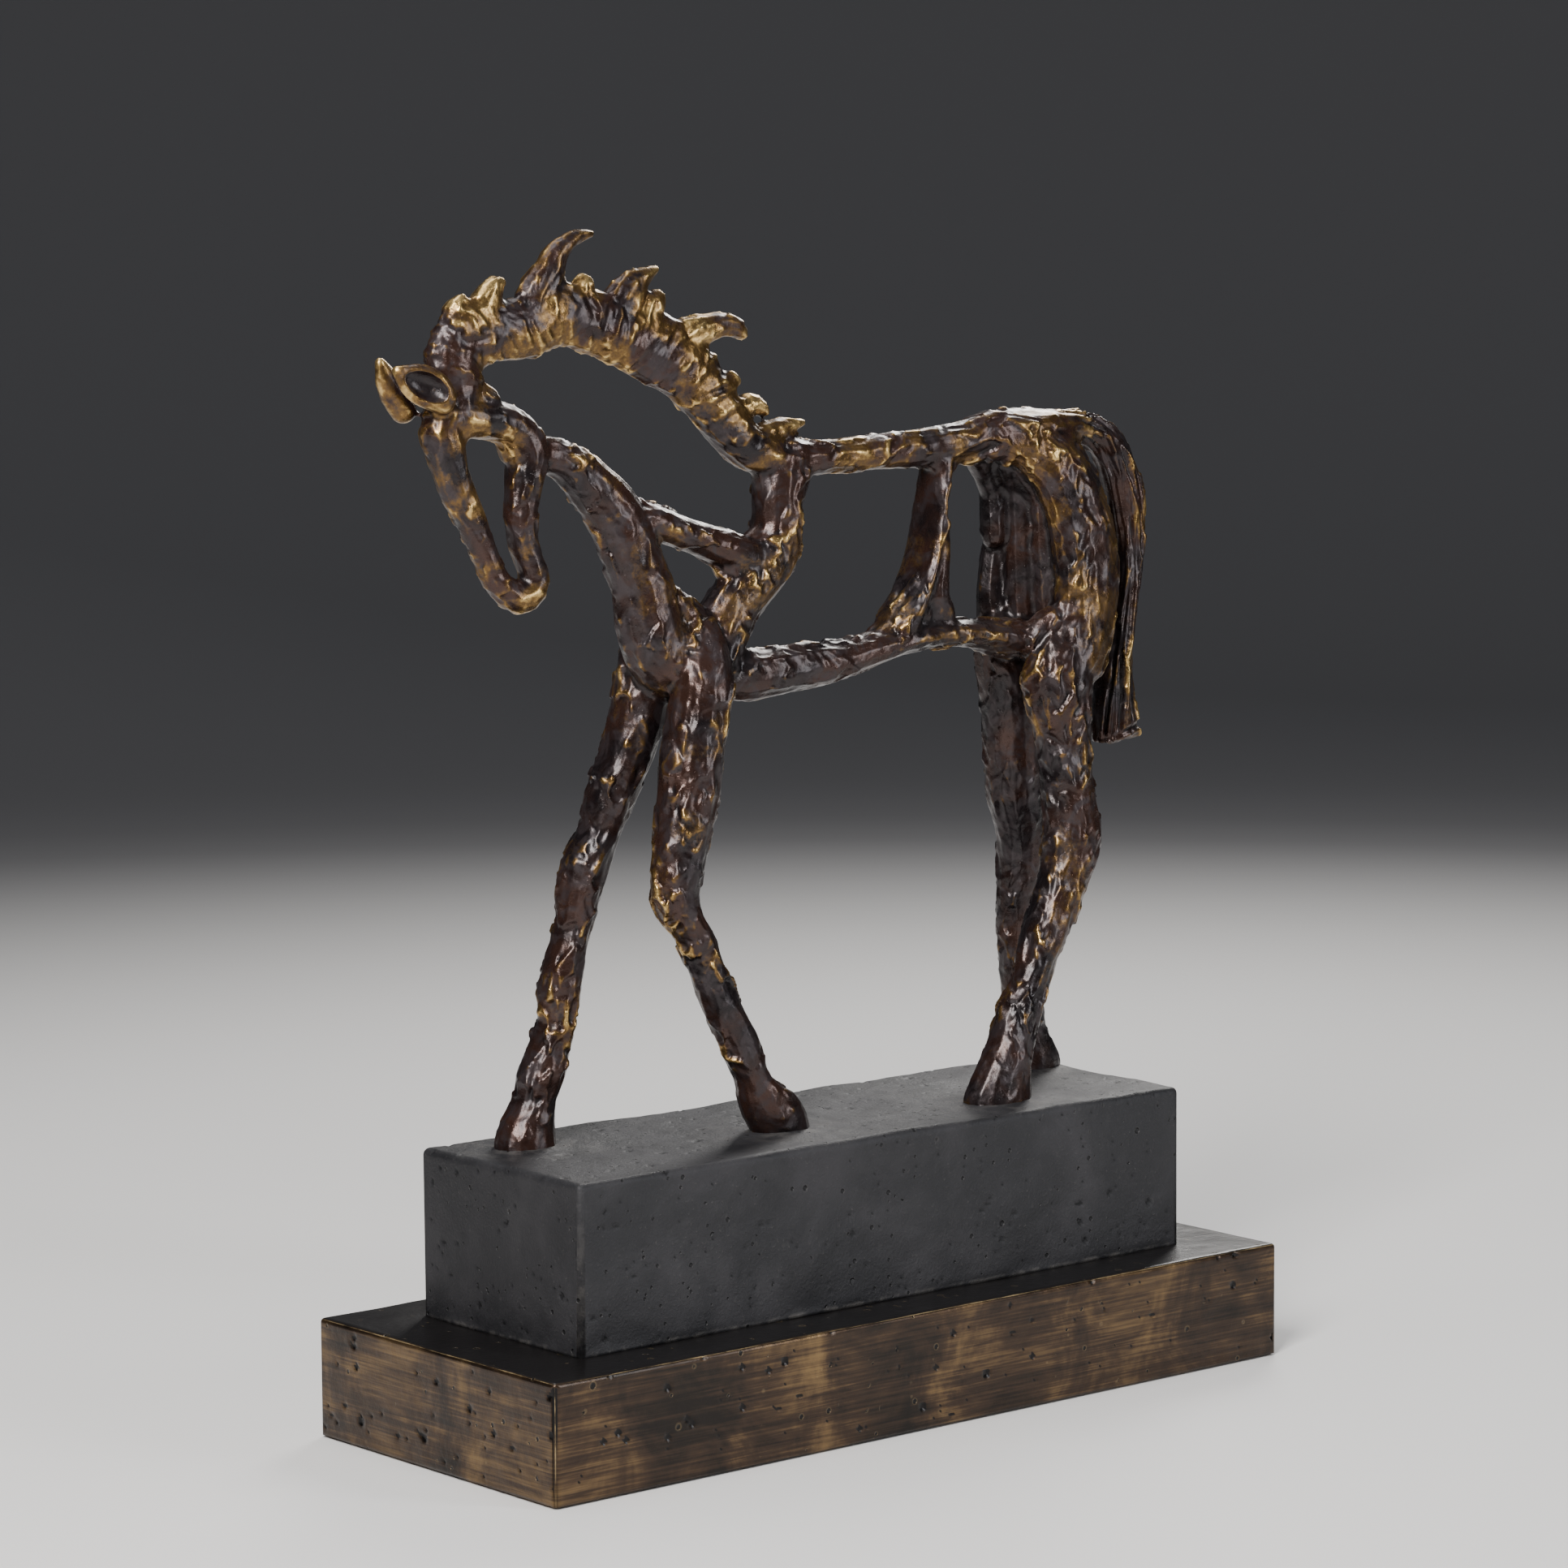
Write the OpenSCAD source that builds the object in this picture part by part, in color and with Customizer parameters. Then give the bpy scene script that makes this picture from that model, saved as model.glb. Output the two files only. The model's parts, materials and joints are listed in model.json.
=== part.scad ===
// Openwork bronze horse, walking, on a two-tier base.
// X runs along the base with the horse facing -X, the horse's left side faces -Y,
// and the origin is the centre of the face that the base rests on.

/* [Horse] */
// Height of the tallest mane lock above the plinth
horse_h = 389; // [320:1:470]
// Sides of each modelled limb's cross section
limb_sides = 14; // [10:2:18]

/* [Plinth block] */
// Height of the plinth block
plinth_h = 73; // [55:1:100]
// Plinth beyond the centre of the farthest hoof, along X
plinth_end = 14.5; // [14:0.5:40]
// Plinth beyond the centres of the widest hooves, along Y
plinth_side = 28; // [24:0.5:50]
// Wall of the hollow plinth casting
plinth_wall = 6; // [4:0.5:7]
// Top plate of the plinth casting
plinth_top = 8; // [6:0.5:12]
// Corner radius of the plinth, seen from above
plinth_corner_r = 2; // [0.5:0.5:5]

/* [Base slab] */
// Height of the slab casting
slab_h = 51; // [36:1:70]
// Step of the slab beyond the plinth's ends
step_end = 35; // [20:0.5:60]
// Step of the slab beyond the plinth's sides
step_side = 27.5; // [16:0.5:50]
// Wall of the hollow slab casting
slab_wall = 6; // [4:0.5:9]
// Top plate of the slab casting
slab_top = 6; // [5:0.5:10]
// Corner radius of the slab, seen from above
slab_corner_r = 2.5; // [0.5:0.5:6]

/* [Cover and felt] */
// Thickness of the steel cover
cover_t = 2; // [1.2:0.2:3]
// Ledge that carries the cover inside the slab's rim
cover_ledge = 3; // [2:0.5:3.5]
// Thickness of the felt pad
felt_t = 3; // [2:0.5:5]
// How far the felt stands out below the slab
felt_proud = 1; // [0.5:0.5:1.5]
// Gap around the cover and the felt
cover_gap = 0.4; // [0.2:0.1:1]

/* [Fasteners] */
// Radius of the hoof studs and plinth screws
stud_r = 3; // [2.5:0.5:4]
// Depth of a stud inside its hoof
stud_depth = 18; // [12:1:22]
// Radius of the cover screws
cover_screw_r = 2; // [1.5:0.25:2.5]
// Length of a cover screw
cover_screw_l = 16; // [12:1:24]
// Thread length of a plinth screw inside the plinth
plinth_bite = 20; // [12:1:28]
// Clearance around a thread in its tapped hole
thread_gap = 0.05; // [0.02:0.01:0.1]
// Clearance around a fastener in a through hole
hole_gap = 0.4; // [0.2:0.1:0.8]
// Thickness of the washers
washer_t = 1.6; // [1:0.1:2.5]
// Distance of the plinth bosses from the plinth's ends
boss_inset = 62; // [50:1:80]

/* [Hidden] */

$fn = 48;
eps = 0.01;
lock_sides = 10;

// The castings are drawn for this height and scaled to horse_h.
drawn_h = 389;
k = horse_h / drawn_h;

// Hoof centres on the plinth: left fore, right fore, left hind, right hind.
hooves = [[-33, -18], [-138, 27], [86, -27], [158, 27]];
far_hoof = max([for (h = hooves) abs(h[0])]);
wide_hoof = max([for (h = hooves) abs(h[1])]);

plinth_l = 2 * (k * far_hoof + plinth_end);
plinth_w = 2 * (k * wide_hoof + plinth_side);
slab_l = plinth_l + 2 * step_end;
slab_w = plinth_w + 2 * step_side;

slab_z = felt_proud;
plinth_z = slab_z + slab_h;
top_z = plinth_z + plinth_h;
cover_z = felt_t;

boss_r = 2.3 * stud_r;
boss_x = plinth_l / 2 - boss_inset;
boss_y = plinth_w / 2 - plinth_wall - boss_r + 1;
cover_boss_r = 3 * cover_screw_r;
cover_boss_x = slab_l / 2 - slab_wall - cover_ledge - cover_boss_r;
cover_boss_y = slab_w / 2 - slab_wall - cover_ledge - cover_boss_r;
washer_r = 2 * stud_r;
nut_h = 1.7 * stud_r;
nut_r = 1.9 * stud_r;
stud_tail = 3;

bronze = "#4b3628";
gold_bronze = "#8a6a3c";
iron = "#3a3a3b";
steel = "#9a9da1";
felt_green = "#2c3a31";

// Stations of the limbs: [x, y, height above the plinth, half thickness, half width].
// A leg's sections are level, with the half thickness along X.
left_fore = [
    [-66, -7, 224, 5, 5], [-68, -10, 213, 11, 9.5], [-70, -12.5, 202, 14, 12],
    [-71, -13, 193, 14, 13], [-77, -13, 165, 14.5, 13.5], [-79, -13.5, 151, 14, 13.5],
    [-82.5, -14, 137, 13, 13], [-86, -14.5, 121, 12, 11.5], [-88.5, -15, 108, 10.5, 10.5],
    [-85.5, -15, 98, 10.5, 10], [-77.5, -15.5, 87, 9.5, 8.5], [-71.5, -16, 73, 8.7, 8],
    [-64.5, -16.5, 58, 9.5, 8.5], [-57.5, -17, 45, 10, 9], [-54, -17.5, 35, 9.5, 9],
    [-49, -18, 25, 8.5, 8.5], [-42, -18, 17, 14, 9.5], [-37, -18, 8, 16, 10.5],
    [-33, -18, 0, 14.5, 10]
];
right_fore = [
    [-76, 7, 231, 5, 5], [-78, 10, 221, 11, 9.5], [-79.5, 12.5, 209, 13.5, 12],
    [-85, 15, 177, 13, 12.5], [-95.5, 18, 151, 12, 12], [-100.5, 20, 135, 9.7, 10.5],
    [-107.5, 21, 121, 11.5, 11], [-111.5, 22, 106, 9.7, 10], [-113.5, 23, 93, 8.2, 8.5],
    [-118, 24, 79, 9, 9], [-120.5, 24.5, 66, 10, 9.5], [-122, 25, 53, 8.7, 9],
    [-126.5, 26, 39, 10, 9.5], [-129.5, 26.5, 30, 11.2, 10.5], [-132.5, 27, 20, 9.5, 9.5],
    [-136, 27, 12, 12.2, 10.5], [-138, 27, 4, 13.7, 11.5], [-138, 27, 0, 14, 12]
];
left_hind = [
    [141, -16, 214, 8, 5], [138, -16.5, 204, 15, 10], [134, -17, 194, 18, 13],
    [132, -17, 183, 18.5, 14], [134, -18.5, 162, 14.2, 12.5], [135, -19.5, 148, 12.8, 12],
    [135.5, -20.5, 133, 12.8, 12], [137, -21, 121, 14.6, 12], [136.5, -21.5, 113, 15, 12],
    [135, -22, 104, 14.5, 11.5], [130.5, -22.5, 94, 13.4, 11], [125, -23, 84, 12.6, 10.5],
    [118, -24, 72, 11.8, 10], [112, -24.5, 61, 10, 9], [108, -25, 52, 10, 8.5],
    [101.5, -25.5, 42, 11.2, 9], [97.5, -26, 33, 11.2, 9.5], [93.5, -26.5, 24, 11.4, 10],
    [89.5, -27, 15, 14, 10.5], [86.5, -27, 5, 17.2, 11.5], [86, -27, 0, 17.5, 12]
];
right_hind = [
    [138, 16, 224, 8, 5], [135, 16.5, 214, 14, 10], [133, 17, 203, 16, 13],
    [132.5, 17, 195, 15.5, 14], [135, 18, 176, 14.2, 13.5], [137.5, 19.5, 157, 13.6, 13],
    [139.5, 20.5, 141, 13.4, 13], [142, 21.5, 128, 14, 12.5], [145.5, 22, 115, 12.6, 11.5],
    [147, 23, 101, 11.6, 11], [145.5, 23.5, 85, 10, 9.7], [145, 24.5, 68, 9.2, 9],
    [146.5, 25, 52, 9, 8.5], [149.5, 26, 38, 9.5, 9], [152, 26.5, 24, 9.6, 9],
    [155, 27, 15, 11, 9.7], [157.5, 27, 6, 13.5, 10.7], [158, 27, 0, 14.5, 11]
];

// The other limbs' sections stand square to the limb, with the half width along Y.
chest_run = [
    [-149, 0, 296, 7, 6.5], [-142, 0, 295.5, 8, 7], [-135, 0, 293, 8.3, 8],
    [-127.5, 0, 289, 10, 8.5], [-119.5, 0, 282, 11.5, 9], [-110, 0, 273, 13, 10],
    [-103, 0, 262, 13.7, 11], [-98, 0, 250, 13.7, 11], [-92.5, 0, 238, 14.5, 12],
    [-90, 0, 225, 15, 13], [-86, 0, 212.5, 15.3, 13.5], [-76, 0, 203, 14.5, 14],
    [-64, 0, 198, 12.5, 13]
];
shoulder_run = [
    [-102, 0, 267, 7, 8], [-88, 0, 265.5, 8, 9], [-76, 0, 261.5, 7.3, 9],
    [-62, 0, 257, 7.4, 9.3], [-48, 0, 252, 8.5, 10], [-34, 0, 247, 9, 9.5]
];
withers_run = [
    [-13, 0, 291, 13, 9.5], [-16, 0, 281, 12.5, 10], [-17.5, 0, 271, 12, 10.5],
    [-17.5, 0, 262, 12, 11], [-19.5, 0, 253, 12.7, 11], [-26, 0, 243.5, 13, 11],
    [-35, 0, 235, 12.5, 11], [-44.5, 0, 226.5, 13, 11], [-52, 0, 214, 14, 12],
    [-58, 0, 202, 13, 12]
];
poll_run = [
    [-187, 0, 313, 9, 8], [-188, 0, 322, 12, 8.5], [-189, 0, 331, 13.5, 8.5],
    [-189, 0, 340, 13.5, 8], [-188.5, 0, 350, 8, 6]
];
crest_run = [
    [-193, 0, 347, 8, 7], [-185, 0, 348.5, 12.5, 7.5], [-174, 0, 347.5, 13, 7.5],
    [-163, 0, 347, 12.3, 7.5], [-150, 0, 349, 13.3, 7.5], [-136.5, 0, 354, 13.7, 7.5],
    [-120, 0, 350.5, 13.7, 7.5], [-103, 0, 345, 14.5, 8], [-85.5, 0, 339, 16, 8],
    [-73, 0, 332.5, 15.5, 8], [-63.5, 0, 325, 14.5, 8], [-55.5, 0, 316.5, 13, 8.5],
    [-47.5, 0, 308, 12, 8.5], [-40.5, 0, 300, 10.7, 9], [-32, 0, 294, 10, 9],
    [-20, 0, 291, 9, 9]
];
back_run = [
    [-14, 0, 288, 8, 8], [0, 0, 289, 7.8, 8], [12, 0, 289.5, 7.2, 7.5], [30, 0, 290, 7.7, 8],
    [50, 0, 291, 8.3, 8.5], [68, 0, 291.5, 8.8, 9], [85, 0, 293.5, 8.5, 9.5],
    [100, 0, 296, 8.5, 10.5], [112, 0, 298, 7, 10]
];
croup_run = [
    [96, 0, 295.5, 8.5, 10.5], [108, 0, 298, 9, 13], [122, 0, 299, 8.5, 15],
    [136, 0, 299, 8, 15], [150, 0, 298.5, 7.5, 12], [162, 0, 298, 7, 9]
];
belly_run = [
    [-54, 0, 197, 9, 9], [-40, 0, 197, 11, 10], [-25, 0, 197.5, 10.5, 10],
    [-10, 0, 199, 10.5, 10], [5, 0, 199.5, 10, 10.5], [20, 0, 201, 8.5, 11],
    [35, 0, 204.5, 7.5, 12], [50, 0, 207, 6.5, 12.5], [65, 0, 208.5, 6.3, 12.5],
    [80, 0, 209, 6.3, 12.5], [95, 0, 207.5, 6.5, 13], [108, 0, 205.5, 8, 14],
    [122, 0, 204, 9, 14], [134, 0, 203, 7, 12]
];
rib_run = [
    [76, 0, 290, 6, 7], [74.5, 0, 281, 5, 9.5], [71.5, 0, 267, 3.2, 11],
    [69, 0, 255, 3, 11.5], [66, 0, 243, 3, 12], [61.5, 0, 232, 3.3, 12.5],
    [56, 0, 222, 5, 13], [51, 0, 214, 8, 12.5], [49, 0, 208, 8, 11]
];
left_haunch_run = [
    [102, -5, 296, 7, 7], [114, -7, 294, 10.5, 8], [128, -10, 288, 13, 8.5],
    [139, -13, 277, 15, 9], [146, -15, 262, 17, 9.5], [150, -16, 246, 18, 10],
    [151, -17, 230, 17.5, 10.5], [149, -17, 214, 17, 11], [143, -17, 199, 18, 12.5],
    [136, -17, 188, 16, 12.5], [132, -17, 178, 12, 10]
];
right_haunch_run = [
    [104, 5, 296, 7, 7], [118, 8, 293, 12, 8], [131, 11, 284, 16, 8.5],
    [139, 14, 270, 20, 9], [143, 16, 254, 23, 9.5], [142.5, 17, 238, 24.5, 10],
    [140, 17, 222, 24.5, 10.5], [137, 17, 208, 21, 12], [134, 17, 197, 15, 13],
    [133, 17, 188, 11, 11]
];
tail_run = [
    [152, 0, 298, 6, 7], [163, 0, 298, 7, 7.5], [175, 0, 293, 8, 8], [183, 0, 284, 9, 8.5],
    [188, 0, 272, 9.3, 9], [191, 0, 259, 9, 9], [192, 0, 245, 7.5, 8.5],
    [191, 0, 230, 7, 8.5], [188.5, 0, 215, 6.5, 8.5], [186, 0, 200, 7, 9],
    [184, 0, 185, 8.5, 9], [183.5, 0, 172, 10.5, 9], [184, 0, 162, 12, 9],
    [185, 0, 154, 13, 8.5]
];

// The head is one closed loop: forehead, muzzle, jaw, cheek and brow.
head_loop = [
    [-196, 0, 312, 10, 9], [-194.8, 0, 300.5, 9, 8.5], [-192, 0, 290, 7.7, 7.5],
    [-188, 0, 281, 7.7, 7], [-182.7, 0, 271.5, 6.6, 7], [-177.5, 0, 260, 5.7, 6.5],
    [-172.5, 0, 249.5, 5.5, 6], [-167, 0, 242, 6, 6.5], [-158, 0, 236.8, 6.8, 7],
    [-151, 0, 240, 6.5, 7], [-150.7, 0, 248, 6.3, 6.7], [-155, 0, 258, 6.3, 6.6],
    [-156.7, 0, 268, 6.8, 7.4], [-155.7, 0, 277.5, 7.3, 7.8], [-154, 0, 287.5, 8.5, 9],
    [-152.7, 0, 297, 9, 9.5], [-157, 0, 305, 8.5, 9], [-166, 0, 309.5, 8.5, 9],
    [-180, 0, 312, 9, 10]
];

// Locks of the mane, front to back, each from root to tip.
locks = [
    [[-190, 0, 344, 7, 6], [-189.5, 0, 352, 6.5, 5.5], [-187.5, 0, 358, 4.5, 4.5],
     [-184.5, 0, 361.5, 2, 2.5]],
    [[-176, 0, 348, 11, 6.5], [-173, 0, 358, 8, 6], [-169, 0, 365, 5, 4.5], [-165.7, 0, 369, 1.8, 2.5]],
    [[-147, 0, 350, 13, 7], [-145.5, 0, 360, 12, 7], [-141.5, 0, 368.5, 8.3, 6.3],
     [-138, 0, 376, 6.3, 5.5], [-133.5, 0, 381, 4.6, 4.8], [-127.8, 0, 384.5, 3.5, 4],
     [-121.5, 0, 386, 2.4, 3], [-117.3, 0, 386.3, 1.2, 1.8]],
    [[-126, 0, 352, 10, 6.5], [-124, 0, 360, 8, 6], [-122.5, 0, 366, 5, 4.5], [-121, 0, 369.5, 2, 3]],
    [[-104, 0, 348, 12, 7], [-101, 0, 358, 10.5, 6.5], [-96, 0, 365, 7.5, 5.5], [-90, 0, 369, 4, 4.2],
     [-83.2, 0, 371.8, 1.3, 2]],
    [[-92, 0, 350, 9, 6.5], [-86, 0, 357, 6, 5.5], [-81.5, 0, 361, 2.5, 3]],
    [[-74, 0, 336, 12, 7], [-66, 0, 343, 9.5, 6.5], [-55, 0, 346.5, 6.3, 5.5], [-46, 0, 347.5, 5.2, 5],
     [-39, 0, 345.5, 4.2, 4.2], [-35.6, 0, 342.3, 1.8, 2.6]],
    [[-57, 0, 314, 10, 7], [-50, 0, 321, 8, 6.5], [-44.5, 0, 323.5, 5.5, 6], [-40, 0, 323.5, 2.5, 3.5]],
    [[-46, 0, 302, 8, 6.5], [-40, 0, 309, 6, 6], [-33, 0, 313.5, 5, 5], [-27, 0, 311.5, 3.8, 4.5],
     [-24.5, 0, 309, 1.5, 2.5]],
    [[-36, 0, 293, 9, 7], [-24, 0, 300, 6.5, 6], [-12, 0, 303.5, 4, 4], [-2.6, 0, 304.8, 1.4, 1.8]]
];

// ---- Curves ----

function unit(v) = v / norm(v);

// Point t of the way from station b to station c of a smooth curve through a, b, c and d.
function on_curve(a, b, c, d, t) =
    0.5 * (2 * b + (c - a) * t + (2 * a - 5 * b + 4 * c - d) * t * t
        + (3 * b - a - 3 * c + d) * t * t * t);

// The run with extra stations between those given, closed or open.
function smooth_run(run, closed, steps) =
    let (n = len(run))
    [for (i = [0:closed ? n - 1 : n - 2]) for (s = [0:steps - 1])
        let (
            a = run[closed ? (i + n - 1) % n : max(i - 1, 0)],
            b = run[i],
            c = run[(i + 1) % n],
            d = run[closed ? (i + 2) % n : min(i + 2, n - 1)]
        )
        on_curve(a, b, c, d, s / steps),
     if (!closed) run[n - 1]];

function centre(s) = [s[0], s[1], s[2]];

// Direction of the run at station i.
function heading(run, i, closed) =
    let (
        n = len(run),
        before = run[closed ? (i + n - 1) % n : max(i - 1, 0)],
        after = run[closed ? (i + 1) % n : min(i + 1, n - 1)]
    )
    unit(centre(after) - centre(before));

// One elliptical section: its width lies along Y, square to the heading.
function section(s, dir, sides) =
    let (wide = unit([0, 1, 0] - dir[1] * dir), thick = cross(dir, wide))
    [for (j = [0:sides - 1])
        let (a = 360 * j / sides)
        centre(s) + s[3] * cos(a) * thick + s[4] * sin(a) * wide];

// Scales a drawn station and stands it on the plinth.
function placed(s) = [k * s[0], k * s[1], top_z + k * s[2], k * s[3], k * s[4]];
function spot(p) = [k * p[0], k * p[1], top_z + k * p[2]];

// A limb swept through its stations. Level sections suit the legs.
module limb(run, level = false, closed = false, sides = limb_sides) {
    fine = smooth_run([for (s = run) placed(s)], closed, 2);
    n = len(fine);
    m = sides;
    points = [for (i = [0:n - 1])
        each section(fine[i], level ? [0, 0, -1] : heading(fine, i, closed), m)];
    walls = [for (i = [0:closed ? n - 1 : n - 2]) for (j = [0:m - 1])
        let (a = i * m + j, b = i * m + (j + 1) % m, c = ((i + 1) % n) * m + (j + 1) % m,
            d = ((i + 1) % n) * m + j)
        each [[a, b, c], [a, c, d]]];
    ends = closed ? [] : [[for (j = [m - 1:-1:0]) j], [for (j = [0:m - 1]) (n - 1) * m + j]];
    polyhedron(points = points, faces = concat(walls, ends));
}

// A web of metal that fills the crotch between two limbs.
module web(p, rp, q, rq, sides = 10) {
    hull() {
        translate(spot(p)) sphere(r = k * rp, $fn = sides);
        translate(spot(q)) sphere(r = k * rq, $fn = sides);
    }
}

module webs(list, sides = 10) {
    for (w = list) web(w[0], w[1], w[2], w[3], sides);
}

// ---- Whole forms of the castings, before they are fitted to each other ----

module left_fore_form() limb(left_fore, level = true);
module right_fore_form() limb(right_fore, level = true);
module left_hind_form() limb(left_hind, level = true);
module right_hind_form() limb(right_hind, level = true);

module chest_form() {
    limb(chest_run);
    webs([
        [[-80, -4, 206], 12, [-70, -8, 198], 10],
        [[-86, 4, 214], 12, [-80, 9, 208], 10],
        [[-70, 0, 212], 9, [-58, 0, 208], 9],
        [[-76, -6, 212], 9, [-66, -8, 208], 9],
        [[-80, 0, 232], 8, [-66, 0, 220], 9]
    ]);
}

module shoulder_form() {
    limb(shoulder_run);
    webs([
        [[-98, 0, 262], 7, [-86, 0, 260], 5],
        [[-94, 0, 271], 5, [-84, 0, 266], 4]
    ]);
}

module withers_form() {
    limb(withers_run);
    webs([
        [[-46, 0, 246], 7, [-40, 0, 234], 8],
        [[-34, 0, 252], 6, [-24, 0, 258], 6],
        [[-4, 0, 282], 5, [-8, 0, 272], 5],
        [[-26, 0, 284], 5, [-24, 0, 274], 5],
        [[-12, 0, 292], 8, [-2, 0, 290], 7]
    ]);
}

module crest_form() {
    limb(crest_run);
    limb(poll_run);
    webs([
        [[-178, 0, 336], 5, [-170, 0, 340], 5],
        [[-199, 0, 338], 5, [-194, 0, 347], 5]
    ]);
}

module locks_form() {
    for (lock = locks) limb(lock, sides = lock_sides);
    webs([
        [[-184, 0, 352], 6, [-178, 0, 354], 7],
        [[-134, 0, 362], 6, [-128, 0, 358], 6],
        [[-114, 0, 354], 6, [-110, 0, 352], 6]
    ]);
}

module head_form() {
    limb(head_loop, closed = true);
    webs([
        [[-190, 0, 308], 8, [-182, 0, 313], 8],
        [[-162, 0, 306], 7, [-157, 0, 298], 8],
        [[-188, 0, 318], 9, [-184, 0, 322], 8],
        [[-174, 0, 318], 7, [-182, 0, 322], 7],
        [[-153, 0, 297], 8, [-154, 0, 286], 7.5],
        [[-196, 0, 312], 8.5, [-194, 0, 298], 8],
        [[-168, 0, 243], 5.5, [-159, 0, 237], 6],
        [[-157, 0, 266], 6, [-156, 0, 278], 6.5]
    ], sides = 12);
}

module back_form() {
    limb(back_run);
    webs([
        [[84, 0, 289], 6, [99, 0, 289], 6],
        [[66, 0, 288], 6, [58, 0, 290], 6]
    ]);
}

module belly_form() {
    limb(belly_run);
    webs([
        [[66, 0, 211], 5, [80, 0, 210], 4],
        [[100, 0, 206], 7, [116, 0, 203], 9],
        [[-46, 0, 206], 6, [-34, 0, 202], 6]
    ]);
}

module rib_form() {
    limb(rib_run);
    webs([
        [[70, -3, 285], 4, [77, -3, 281], 4],
        [[82, 0, 285], 5, [76, 0, 277], 4],
        [[71, -8, 258], 3.5, [70, -7, 240], 4.5],
        [[70, -7, 240], 4.5, [69, -6, 226], 6],
        [[69, -6, 226], 6, [78, -3, 211], 6],
        [[65, -3, 236], 4, [62, -2, 218], 7],
        [[52, -4, 215], 5, [40, -2, 209], 5],
        [[58, 6, 220], 4, [44, 6, 209], 5],
        [[60, 0, 220], 4, [71, 0, 214], 5]
    ]);
}

module croup_form() {
    limb(croup_run);
    webs([
        [[104, -4, 292], 5, [112, -6, 288], 6],
        [[104, 4, 292], 5, [112, 6, 288], 6],
        [[142, -6, 296], 8, [150, -4, 290], 7],
        [[142, 6, 296], 8, [150, 4, 290], 7]
    ]);
}

module left_haunch_form() {
    limb(left_haunch_run);
    webs([
        [[146, -16, 206], 11, [138, -16, 196], 12],
        [[132, -14, 212], 7, [122, -10, 205], 7],
        [[112, -5, 291], 7, [104, -4, 290], 6],
        [[136, -12, 284], 8, [142, -10, 290], 6]
    ]);
}

module right_haunch_form() {
    limb(right_haunch_run);
    webs([
        [[140, 16, 208], 11, [136, 16, 200], 12],
        [[126, 14, 212], 7, [118, 10, 205], 7],
        [[120, 12, 250], 6, [119, 12, 270], 6],
        [[119, 12, 270], 6, [112, 9, 279], 6],
        [[112, 9, 279], 6, [103, 5, 287], 6],
        [[133, 8, 214], 8, [130, 7, 272], 8],
        [[130, 7, 272], 8, [118, 4, 285], 8],
        [[142, 0, 214], 9, [138, 0, 268], 9],
        [[138, 0, 268], 9, [124, 0, 284], 9]
    ]);
}

// A wall that closes the hollow of the hindquarters at the back.
module rump_form() {
    wall = [[148, 288, 12], [157, 276, 13], [162, 262, 14], [164, 246, 15], [164, 230, 15], [161, 216, 14]];
    for (i = [0:len(wall) - 2]) hull() {
        for (w = [wall[i], wall[i + 1]]) for (side = [-1, 1])
            translate(spot([w[0], side * w[2], w[1]])) sphere(r = k * 3.5, $fn = 12);
    }
}

module tail_form() limb(tail_run);

// An ear is a cup, half_h high, with its mouth turned outwards on the side given (-1 left, 1 right).
module ear_form(at, side, lean, half_h) {
    translate(spot(at)) rotate([0, 0, side * 22]) rotate([0, lean, 0]) scale(k)
        difference() {
            hull() {
                scale([13, 4.5, half_h]) sphere(r = 1, $fn = 24);
                translate([-14, 0, 0.5]) sphere(r = 2, $fn = 12);
                translate([9, -side * 3, -2]) sphere(r = 5.5, $fn = 16);
            }
            translate([-0.5, side * 4.5, 0]) scale([10.5, 5.5, half_h - 2.5]) sphere(r = 1, $fn = 24);
        }
}

left_ear_at = [-210, -9, 325.5];
right_ear_at = [-212.5, 12, 324];

// ---- Castings ----

module left_fore_leg() {
    color(bronze) difference() {
        left_fore_form();
        stud_bore(hooves[0]);
    }
}

module right_fore_leg() {
    color(bronze) difference() {
        right_fore_form();
        stud_bore(hooves[1]);
    }
}

module left_hind_leg() {
    color(bronze) difference() {
        left_hind_form();
        stud_bore(hooves[2]);
    }
}

module right_hind_leg() {
    color(bronze) difference() {
        right_hind_form();
        stud_bore(hooves[3]);
    }
}

// Tapped blind hole in a hoof.
module stud_bore(hoof) {
    translate([k * hoof[0], k * hoof[1], top_z - eps])
        cylinder(r = stud_r + thread_gap, h = stud_depth + eps);
}

module chest() {
    color(bronze) difference() {
        chest_form();
        left_fore_form();
        right_fore_form();
        head_form();
    }
}

module withers_post() {
    color(bronze) difference() {
        withers_form();
        chest_form();
        left_fore_form();
        right_fore_form();
    }
}

module shoulder_bar() {
    color(bronze) difference() {
        shoulder_form();
        chest_form();
        withers_form();
    }
}

module head() {
    color(gold_bronze) head_form();
}

module neck_crest() {
    color(gold_bronze) difference() {
        crest_form();
        head_form();
        withers_form();
    }
}

module mane_locks() {
    color(gold_bronze) difference() {
        locks_form();
        crest_form();
        withers_form();
        back_form();
    }
}

module left_ear() {
    color(gold_bronze) difference() {
        ear_form(left_ear_at, -1, 27, 8.3);
        head_form();
        crest_form();
        locks_form();
    }
}

module right_ear() {
    color(bronze) difference() {
        ear_form(right_ear_at, 1, 52, 6.5);
        head_form();
        crest_form();
        locks_form();
    }
}

module back_bar() {
    color(bronze) difference() {
        back_form();
        withers_form();
        crest_form();
        croup_form();
        left_haunch_form();
        right_haunch_form();
    }
}

module belly_bar() {
    color(bronze) difference() {
        belly_form();
        chest_form();
        withers_form();
        left_fore_form();
        right_fore_form();
        left_haunch_form();
        right_haunch_form();
        left_hind_form();
        right_hind_form();
    }
}

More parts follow.
